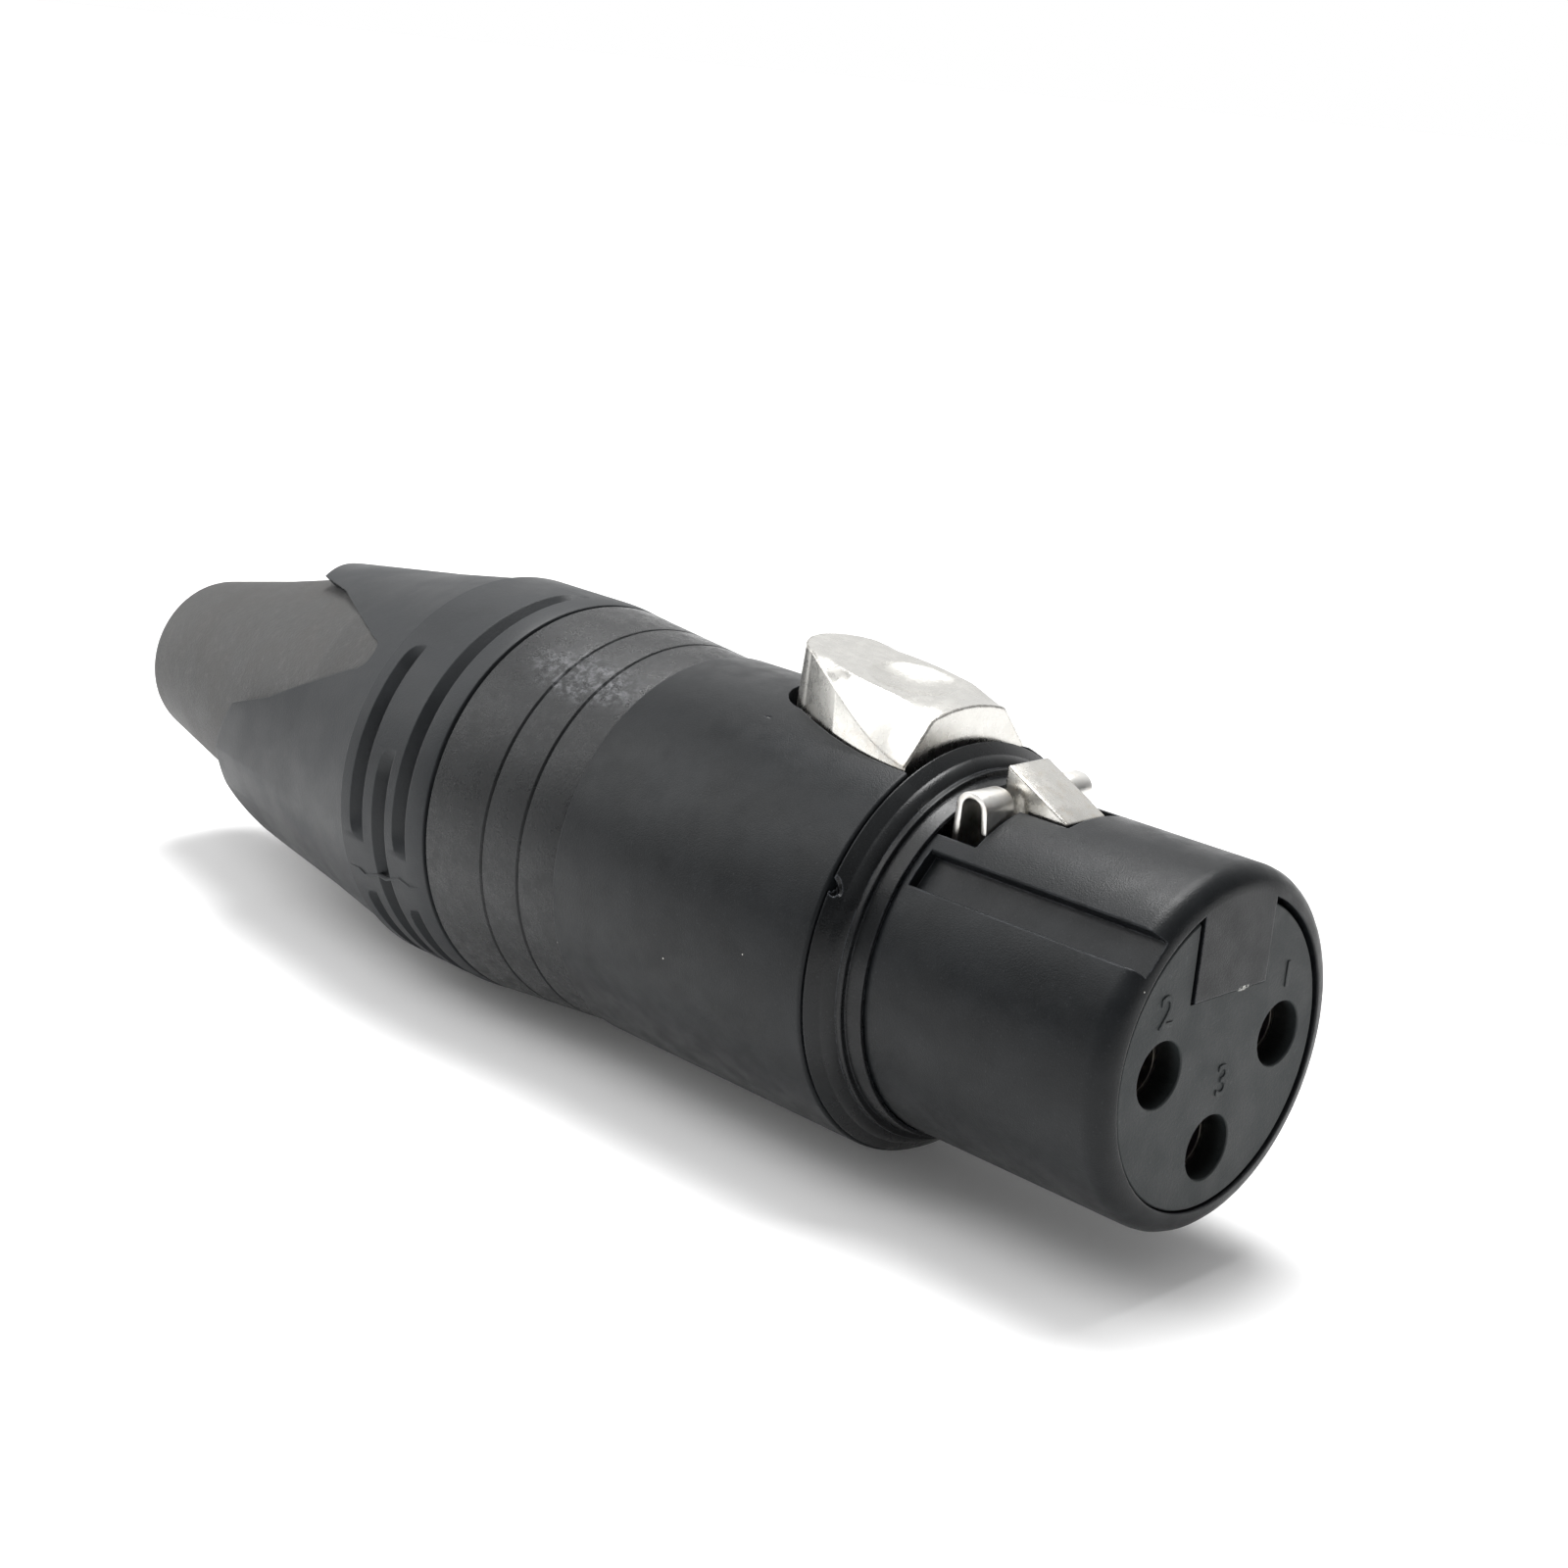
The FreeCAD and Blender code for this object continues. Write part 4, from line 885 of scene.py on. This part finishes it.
def make_skirt(material):
    """Hard part of the boot: a stepped collar with wedge-shaped grip slots and three petals."""
    belly = [MARKING_BACK + step * (BELLY - MARKING_BACK) / BELLY_STEPS
             for step in range(2, BELLY_STEPS + 1)]
    skirt = lathe("boot_skirt_moulded", [
        (MARKING_BACK, BOOT_BORE),
        (MARKING_BACK, boot_outside(MARKING_BACK) - SEAM_DEPTH),
        (MARKING_BACK + SEAM_HALF, boot_outside(MARKING_BACK + SEAM_HALF), SEAM_ROUND),
        *[(station, boot_outside(station)) for station in belly],
        (COLLAR_BACK - COLLAR_EDGE, BOOT, COLLAR_EDGE_ROUND),
        (COLLAR_BACK + COLLAR_FOOT, BOOT - COLLAR_STEP, COLLAR_FOOT_ROUND),
        (PETAL_MID, PETAL_MID_RADIUS, PETAL_MID_ROUND),
        (PETAL_BACK, PETAL_BACK_RADIUS, PETAL_BACK_ROUND),
        (PETAL_BACK, PETAL_BACK_RADIUS - PETAL_WALL),
        (PETAL_MID, PETAL_MID_RADIUS - PETAL_WALL),
        (THROAT, BOOT_BORE),
    ])
    for angle in VALLEY_ANGLES:
        valley = prism("valley_tool", valley_outline(), 0.0, VALLEY_TOP)
        turn_about_axis(valley, angle)
        combine(skirt, valley)
        combine(skirt, grip_cut(*FRONT_ROW, angle))
    for angle in PETAL_ANGLES:
        combine(skirt, grip_cut(*MIDDLE_ROW, angle))
        for shift in (-BACK_ROW_SHIFT, BACK_ROW_SHIFT):
            combine(skirt, grip_cut(*BACK_ROW, angle + shift))
    smooth(skirt)
    finish_piece(skirt, "boot", material, "boot_slate", "boot_skirt")
    return skirt


def make_sleeve(skirt, material):
    """Rubber cone moulded round the petals, with the cable's bore."""
    sleeve = lathe("boot_sleeve_moulded", [
        (THROAT, SLEEVE_BORE),
        (THROAT, boot_outside(THROAT) - SLEEVE_SINK),
        (PETAL_MID, PETAL_MID_RADIUS - SLEEVE_SINK, SLEEVE_MID_ROUND),
        (KNEE, KNEE_RADIUS, KNEE_ROUND),
        (END, END_RADIUS, END_ROUND),
        (END, CABLE, CABLE_ROUND),
        (SLEEVE_THROAT, CABLE),
    ])
    tool = skirt.copy()
    tool.data = skirt.data.copy()
    bpy.context.scene.collection.objects.link(tool)
    combine(sleeve, tool)
    smooth(sleeve)
    finish_piece(sleeve, "boot", material, "boot_rubber", "boot_sleeve")


def make_flash(material):
    """Ragged moulding flash that crosses the grip slots on the flank."""
    rings = []
    last = len(FLASH_STEPS) - 1
    for number, (station, turn) in enumerate(FLASH_STEPS):
        half, rise = FLASH_RUN if 0 < number < last else FLASH_END
        angle = FLASH_ANGLE + turn
        low = boot_outside(station) - FLASH_SINK
        high = boot_outside(station) + rise
        rings.append([
            place(station, angle - half, low),
            place(station, angle - half * FLASH_CREST, high),
            place(station, angle + half * FLASH_CREST, high),
            place(station, angle + half, low),
        ])
    flash = loft("boot_flash", rings)
    smooth(flash)
    finish_piece(flash, "boot", material, "boot_slate")


# Latch and ground spring

TAB_TOP = 10.95
TAB_SLOPE = 0.1263
TAB_FLOOR = 7.0
TAB_BACK = 24.6
TAB_EDGE = 0.05
TAB_FRONT_EDGE = 0.06
TAB_FRONT_SHRINK = 0.985
TAB_LEAST_HALF = 0.03
TAB_COLUMNS = 40
TAB_ROWS = 110
LEAN = 0.08
LEAN_START = 1.5
LEAN_LENGTH = 3.0
LEAN_HEIGHT = 8.3
FACET_LENGTH = 8.3
FACET_DROP = 2.21
FACET_INSET = 0.95
FACET_FADE = 0.45
FACET_LIMIT = 0.45
FACET_LEAST = 0.01
FACET_NOSE = 0.65
NOSE_LENGTH = 6.0
CROWN = 0.3
CROWN_HALF = 2.25
CROWN_LENGTH = 2.4
DIMPLE = (18.55, 0.05)
DIMPLE_RADIUS = 5.4
DIMPLE_DEPTH = 0.42
ARM_FLOOR = 5.6
ARM_TOP = 7.2
ARM_BACK = 21.5
HOOK_FLOOR = ARM_FLOOR + 0.3
HOOK_TOP = 9.5
HOOK_NOSE = 7.75
HOOK_FACE = HOOK_FRONT + 0.05
HOOK_REAR = HOOK_BACK - 0.1
HOOK_NEAR = -HOOK_HALF + 0.01
HOOK_FAR = 1.15
HOOK_EDGE = 0.12
NOSE_ROUND = 0.1
PIN_GAP = 0.03
LATCH_SMOOTH_ANGLE = 24.0
SHEET = 0.25
SHEET_EDGE = 0.04
WING_BACK = 12.3
WING_ROOT = 12.5
WING_INNER = 1.95
WING_OUTER = 3.75
WING_FAR = 3.4
# The wing's curl, as (station, height, rounding): over its outside, then back inside.
CURL = (
    (12.17, 8.58, 0.74), (10.6, 8.54, 0.74), (10.42, 6.9),
    (10.7, 6.9), (10.88, 8.26, 0.45), (11.86, 8.3, 0.45),
)
CURL_FOOT = 11.96
SADDLE_BACK = 14.4
SPRING_HALF = 4.1


def tab_half(station):
    """Half width of the thumb tab at a station."""
    if station >= TAB_WAIST:
        depth = TAB_BACK - TAB_WAIST
        radius = (depth * depth + TAB_WAIST_HALF ** 2) / (2 * depth)
        return math.sqrt(max(radius ** 2 - (station - TAB_BACK + radius) ** 2, 0.0))
    share = (station - TAB_FRONT) / (TAB_WAIST - TAB_FRONT)
    chord = math.hypot(TAB_WAIST - TAB_FRONT, TAB_FRONT_HALF - TAB_WAIST_HALF)
    bulge = chord * chord * share * (1.0 - share) / (2 * TAB_SIDE)
    return TAB_FRONT_HALF + share * (TAB_WAIST_HALF - TAB_FRONT_HALF) + bulge


def tab_top(station, side):
    """Height of the tab's top: a slope with a crowned nose and a thumb dimple."""
    along = station - TAB_FRONT
    height = TAB_TOP + TAB_SLOPE * along
    height -= CROWN * (side / CROWN_HALF) ** 2 * (1.0 - ease(along / CROWN_LENGTH))
    away = math.hypot(station - DIMPLE[0], side - DIMPLE[1])
    if away < DIMPLE_RADIUS:
        centre = DIMPLE_RADIUS - DIMPLE_DEPTH
        height -= max(0.0, math.sqrt(DIMPLE_RADIUS ** 2 - away ** 2) - centre)
    return height


def tab_section(station):
    """The tab across, from the floor on one side to the floor on the other."""
    along = station - TAB_FRONT
    half = max(tab_half(station), TAB_LEAST_HALF)
    share = along / FACET_LENGTH
    inset = FACET_INSET - FACET_FADE * min(share, 1.0)
    inset += FACET_NOSE * (1.0 - ease(along / NOSE_LENGTH))
    upper = half - min(inset, half * FACET_LIMIT)
    high = tab_top(station, upper)
    low = TAB_TOP + TAB_SLOPE * along - FACET_DROP * (1.0 - ease(share))
    low = min(low, high - FACET_LEAST)
    slant = math.hypot(half - upper, high - low)
    cut = min(TAB_EDGE / max(slant, FACET_LEAST), 0.3)
    flank = [
        (half, TAB_FLOOR),
        (half, low - TAB_EDGE),
        (half - (half - upper) * cut, low + (high - low) * cut),
        (upper + (half - upper) * cut, high - (high - low) * cut),
    ]
    top_half = upper - min(TAB_EDGE, upper * 0.2)
    top = []
    for column in range(TAB_COLUMNS + 1):
        side = -top_half + 2 * top_half * column / TAB_COLUMNS
        top.append((side, tab_top(station, side)))
    left = [(-side, height) for side, height in flank]
    return left + top + list(reversed(flank))


def lean(station, side, height):
    """The tab's rear end leans forwards towards its top."""
    share = ease((station - TAB_WAIST + LEAN_START) / LEAN_LENGTH)
    return spot(station - LEAN * (height - LEAN_HEIGHT) * share, side, height)


def make_latch(material):
    """Cast latch: faceted thumb tab with a dimple, arm and hook in one piece."""
    rings = [[spot(TAB_FRONT, side * TAB_FRONT_SHRINK, max(height - TAB_FRONT_EDGE, TAB_FLOOR))
              for side, height in tab_section(TAB_FRONT)]]
    for row in range(TAB_ROWS + 1):
        share = math.sin(math.pi / 2 * row / TAB_ROWS)
        station = TAB_FRONT + TAB_FRONT_EDGE + (TAB_BACK - TAB_FRONT - TAB_FRONT_EDGE) * share
        rings.append([lean(station, side, height) for side, height in tab_section(station)])
    latch = loft("latch_cast", rings)
    arm = [
        (ARM_BACK, ARM_FLOOR), (HOOK_FRONT, ARM_FLOOR),
        (HOOK_FRONT, ARM_TOP), (ARM_BACK, ARM_TOP),
    ]
    combine(latch, side_prism("arm_tool", arm, -HOOK_HALF, HOOK_HALF), "UNION")
    nose = rounded([
        (HOOK_BACK, HOOK_FLOOR), (HOOK_FACE, HOOK_FLOOR),
        (HOOK_FACE, HOOK_NOSE, NOSE_ROUND), (HOOK_REAR, HOOK_TOP, HOOK_EDGE),
    ])
    hook = side_prism("hook_tool", nose, HOOK_NEAR, HOOK_FAR)
    bevel(hook, HOOK_EDGE, 3)
    combine(latch, hook, "UNION")
    hole = circle(*PIVOT, PIN_RADIUS + PIN_GAP, PIN_POINTS)
    combine(latch, side_prism("pin_hole_tool", hole, -PIN_HALF, PIN_HALF))
    smooth(latch, LATCH_SMOOTH_ANGLE)
    finish_piece(latch, "latch", material, "latch_nickel", "latch")


def make_ground_spring(material):
    """Bent sheet: a saddle in the channel and two small curled wings beside the hook."""
    outer = CHANNEL_HALF - SEAT_GAP
    inner = outer - SHEET
    low = CHANNEL_FLOOR + SEAT_GAP
    top = DECK_HEIGHT + SHEET
    half = [
        (inner, low + SHEET), (inner, top), (SPRING_HALF, top),
        (SPRING_HALF, DECK_HEIGHT), (outer, DECK_HEIGHT), (outer, low),
    ]
    saddle = half + [(-side, height) for side, height in reversed(half)]
    spring = bar("ground_spring_bent", saddle, WING_BACK, SADDLE_BACK)
    curl = rounded([
        (WING_ROOT, DECK_HEIGHT), (WING_ROOT, top), (WING_BACK, top),
        *CURL, (CURL_FOOT, DECK_HEIGHT),
    ], 8)
    for side, outer_side in ((1, WING_FAR), (-1, WING_OUTER)):
        wing = side_prism("wing_tool", curl, side * WING_INNER, side * outer_side)
        combine(spring, wing, "UNION")
    bevel(spring, SHEET_EDGE, 2)
    smooth(spring)
    finish_piece(spring, "housing", material, "spring_grey", "ground_spring")


# Insert

INSERT_FRONT = 0.08
INSERT_RADIUS = 6.65
INSERT_EDGE = 0.06
INSERT_JOINT = 13.0
INSERT_COLUMNS = 240
INSERT_GAP = 0.2
# How far the face sits off centre, and the stations between which that fades.
INSERT_SINK = 0.1
SINK_FADE = (2.0, 3.0)
NOTCH_NEAR_GAP = 0.05
NOTCH_FLOOR_GAP = 0.06
NOTCH_OVERLAP = 0.1
SOCKET_CIRCLE = 4.12
SOCKET_MOUTH = 1.42
SOCKET_CHAMFER = 0.05
SOCKET_LIP = 1.2
SEAT_RADIUS = 1.8
SOCKETS = ((SOCKET_CIRCLE, 0.0), (-SOCKET_CIRCLE, 0.0), (0.0, -SOCKET_CIRCLE))
# The raised numbers, as (text, side, height, size).
NUMERALS = (("1", 4.16, 2.60, 1.6), ("2", -4.21, 2.63, 1.95), ("3", 0.4, -1.29, 1.95))
NUMERAL_RISE = 0.035
NUMERAL_EDGE = 0.02


def make_insert(material):
    """Front insert with the key notch, three socket mouths and the latch channel."""
    drop = INSERT_SINK / math.sqrt(2)
    insert = loft("insert_front_moulded", [
        [spot(station, *point) for point in circle(-shift, -shift, radius, INSERT_COLUMNS)]
        for station, radius, shift in (
            (INSERT_FRONT, INSERT_RADIUS - INSERT_EDGE, drop),
            (INSERT_FRONT + INSERT_EDGE, INSERT_RADIUS, drop),
            (SINK_FADE[0], INSERT_RADIUS, drop),
            (SINK_FADE[1], INSERT_RADIUS, 0.0),
            (INSERT_JOINT, INSERT_RADIUS, 0.0),
        )
    ])
    notch = KEY_DEPTH + INSERT_GAP
    back = INSERT_JOINT + PAST
    for start, end, left, right, floor in (
        (-PAST, notch, KEY_HALF + INSERT_GAP, KEY_HALF + NOTCH_NEAR_GAP, KEY_FLOOR - NOTCH_FLOOR_GAP),
        (notch - NOTCH_OVERLAP, back, CHANNEL_HALF, CHANNEL_HALF, CHANNEL_FLOOR),
        (DECK_FRONT - SLOT_GAP, back, DECK_HALF, DECK_HALF, DECK_HEIGHT),
    ):
        block = [(-left, floor), (right, floor), (right, BARREL), (-left, BARREL)]
        combine(insert, bar("channel_tool", block, start, end))
    mouth = (
        (-PAST, SOCKET_MOUTH + SOCKET_CHAMFER),
        (INSERT_FRONT, SOCKET_MOUTH + SOCKET_CHAMFER),
        (INSERT_FRONT + SOCKET_CHAMFER, SOCKET_MOUTH),
        (INSERT_FRONT + SOCKET_LIP, SOCKET_MOUTH),
        (INSERT_FRONT + SOCKET_LIP, SEAT_RADIUS),
        (back, SEAT_RADIUS),
    )
    for side, height in SOCKETS:
        combine(insert, loft("mouth_tool", [
            [spot(station, *point) for point in circle(side, height, radius)]
            for station, radius in mouth
        ]))
    smooth(insert)
    finish_piece(insert, "housing", material, "insert_dark", "insert_front")
    for numeral in NUMERALS:
        finish_piece(make_numeral(*numeral), "housing", material, "insert_dark")


def make_numeral(text, side, height, size):
    """A plain raised socket number on the insert's face."""
    letter = bpy.data.curves.new("numeral", "FONT")
    letter.body = text
    letter.size = size * MM
    letter.extrude = NUMERAL_RISE * MM
    letter.bevel_depth = NUMERAL_EDGE * MM
    letter.align_x = "CENTER"
    letter.align_y = "CENTER"
    letter.resolution_u = 6
    source = add_object("numeral_source", letter)
    bpy.context.view_layer.update()
    graph = bpy.context.evaluated_depsgraph_get()
    mesh = bpy.data.meshes.new_from_object(source.evaluated_get(graph))
    bpy.data.objects.remove(source)
    facing = Matrix(((0.0, 0.0, 1.0), (1.0, 0.0, 0.0), (0.0, 1.0, 0.0))).to_4x4()
    mesh.transform(Matrix.Translation(spot(INSERT_FRONT, side, height)) @ facing)
    return add_object(f"socket_number_{text}", mesh)


# Stage, light and camera

WHITE = (1.0, 1.0, 1.0, 1.0)
# The floor glows little near the object and fully far off. Its size and reach are in metres.
FLOOR_SIZE = 30.0
FLOOR_COLOUR = (0.88, 0.88, 0.88, 1.0)
FLOOR_ROUGHNESS = 0.7
FLOOR_SHINE = 0.2
GLOW_REACH = (0.06, 0.5)
GLOW = (0.06, 1.0)
# The room's light by direction, from low to high, and where the white backdrop stands.
ROOM_REACH = (0.0, 0.8)
ROOM = (0.0, 0.55)
BACKDROP_SIDE = (-0.684, 0.729, 0.0)
BACKDROP_REACH = (0.3, 0.8)
# The lamps, as (name, place from the aim in metres, size in metres, power in watts).
LAMP_AIM = 35.0
LAMPS = (
    ("lamp_top", (-0.1, 0.12, 0.6), 0.32, 5.5),
    ("lamp_front", (-0.16, -0.33, 0.59), 0.38, 1.3),
    ("lamp_left", (-0.5, -0.335, 0.36), 0.54, 2.1),
)
CAMERA_RIGHT = Vector((0.709316, 0.698860, 0.092007))
CAMERA_UP = Vector((-0.243085, 0.119999, 0.962554))
CAMERA_BACK = Vector((0.661650, -0.705120, 0.254999))
CAMERA_PLACE = (-52.77, -82.97, 36.96)
FOCAL_PIXELS = 2589.49
IMAGE_SIDE = 1600
CENTRE_PIXEL = (814.85, 754.0)
SENSOR = 36.0


def seen_rays(tree):
    """1 for camera, glossy and transmission rays."""
    path = new_node(tree, "ShaderNodeLightPath")
    total = path.outputs["Is Camera Ray"]
    for name in ("Is Glossy Ray", "Is Transmission Ray"):
        total = new_math(tree, "MAXIMUM", total, path.outputs[name])
    return total


def make_stage():
    """A pale floor that keeps the shadow and reads as white to the camera."""
    bpy.ops.mesh.primitive_plane_add(size=FLOOR_SIZE, location=(0, 0, 0))
    floor = bpy.context.object
    floor.name = "floor"
    material = bpy.data.materials.new("floor_white")
    material.use_nodes = True
    tree = material.node_tree
    shader = tree.nodes["Principled BSDF"]
    shader.inputs["Base Color"].default_value = FLOOR_COLOUR
    shader.inputs["Roughness"].default_value = FLOOR_ROUGHNESS
    shader.inputs["Specular IOR Level"].default_value = FLOOR_SHINE
    away = new_node(tree, "ShaderNodeVectorMath", operation="LENGTH")
    tree.links.new(new_node(tree, "ShaderNodeTexCoord").outputs["Object"], away.inputs[0])
    glow = new_band(tree, away.outputs["Value"], *GLOW_REACH, *GLOW)
    light = new_math(tree, "MULTIPLY", seen_rays(tree), glow)
    shader.inputs["Emission Color"].default_value = WHITE
    tree.links.new(light, shader.inputs["Emission Strength"])
    floor.data.materials.append(material)


def make_world():
    """A white backdrop behind the object and a darker room on the camera's side."""
    world = bpy.data.worlds.new("studio")
    bpy.context.scene.world = world
    world.use_nodes = True
    tree = world.node_tree
    where = new_node(tree, "ShaderNodeTexCoord").outputs["Generated"]
    apart = new_node(tree, "ShaderNodeSeparateXYZ")
    tree.links.new(where, apart.inputs[0])
    room = new_band(tree, apart.outputs["Z"], *ROOM_REACH, *ROOM)
    facing = new_node(tree, "ShaderNodeVectorMath", operation="DOT_PRODUCT")
    facing.inputs[1].default_value = BACKDROP_SIDE
    tree.links.new(where, facing.inputs[0])
    behind = new_band(tree, facing.outputs["Value"], *BACKDROP_REACH)
    backdrop = new_math(tree, "MULTIPLY", seen_rays(tree), behind)
    path = new_node(tree, "ShaderNodeLightPath")
    shown = new_math(tree, "MAXIMUM", backdrop, path.outputs["Is Camera Ray"])
    pick = new_node(tree, "ShaderNodeMix", data_type="FLOAT")
    factor, first, second = [item for item in pick.inputs if item.type == "VALUE"]
    tree.links.new(shown, factor)
    tree.links.new(room, first)
    second.default_value = 1.0
    back = tree.nodes["Background"]
    back.inputs["Color"].default_value = WHITE
    tree.links.new(pick.outputs[0], back.inputs["Strength"])


def make_lamps():
    """A soft lamp above and a little behind, and two weaker ones on the left."""
    aim = spot(LAMP_AIM, 0.0, 0.0)
    for name, away, size, power in LAMPS:
        data = bpy.data.lights.new(name, "AREA")
        data.shape = "SQUARE"
        data.size = size
        data.energy = power
        lamp = add_object(name, data)
        lamp.location = aim + Vector(away)
        lamp.rotation_euler = (aim - lamp.location).to_track_quat("-Z", "Y").to_euler()


def make_camera():
    """Camera at the photo's angle."""
    data = bpy.data.cameras.new("camera")
    data.sensor_fit = "HORIZONTAL"
    data.sensor_width = SENSOR
    data.lens = FOCAL_PIXELS / IMAGE_SIDE * SENSOR
    data.shift_x = (IMAGE_SIDE / 2 - CENTRE_PIXEL[0]) / IMAGE_SIDE
    data.shift_y = (CENTRE_PIXEL[1] - IMAGE_SIDE / 2) / IMAGE_SIDE
    data.clip_start = 0.005
    data.clip_end = 20.0
    camera = add_object("camera", data)
    turn = Matrix((CAMERA_RIGHT, CAMERA_UP, CAMERA_BACK)).transposed().to_4x4()
    camera.matrix_world = Matrix.Translation(spot(*CAMERA_PLACE)) @ turn
    bpy.context.scene.camera = camera


make_camera()
make_stage()
make_world()
make_lamps()
bpy.context.scene.view_settings.view_transform = "Standard"

BLACK = coated_black(
    "housing_black", (0.0052, 0.0062, 0.0072), (0.0085, 0.0098, 0.0112),
    rough=0.36, grain=0.012, edge=0.1, shine=0.2)
RING_BLACK = coated_black(
    "ring_black", (0.0045, 0.005, 0.0056), (0.0075, 0.0084, 0.0092),
    rough=0.28, grain=0.008, edge=0.06, shine=0.24)
NICKEL = plated_metal("latch_nickel", (0.61, 0.60, 0.57), 0.26, pits=0.9, edge=0.08, lumps=0.005)
SPRING = plated_metal("spring_grey", (0.84, 0.83, 0.80), 0.32)
STEEL = plated_metal("inner_steel", (0.55, 0.55, 0.55), 0.3)
# The contacts' silver is painted dark, as painted shade for their place deep in the bores.
SHADED_CONTACT = plated_metal("contact_silver", (0.16, 0.15, 0.13), 0.4)
INSERT = insert_plastic()
SLATE = boot_plastic()
RUBBER = rubber()
GLOSS = ring_gloss()
CHUCK = plain_plastic("chuck_grey", (0.22, 0.22, 0.22), (0.28, 0.28, 0.28), 0.45)

for name, material in {
    "shell": BLACK, "shoulder_ring": RING_BLACK, "marking_ring": GLOSS,
    "insert_front": INSERT, "insert_rear": INSERT, "contact_1": SHADED_CONTACT,
    "contact_2": SHADED_CONTACT, "contact_3": SHADED_CONTACT, "ground_spring": SPRING, "latch": NICKEL,
    "latch_pin": STEEL, "latch_spring": STEEL, "cable_chuck": CHUCK,
    "boot_skirt": SLATE, "boot_sleeve": RUBBER,
}.items():
    assign(NODES[name], material)

make_housing(BLACK)
make_shoulder_ring(RING_BLACK)
make_marking_ring(GLOSS)
make_sleeve(make_skirt(SLATE), RUBBER)
make_flash(SLATE)
make_latch(NICKEL)
make_ground_spring(SPRING)
make_insert(INSERT)
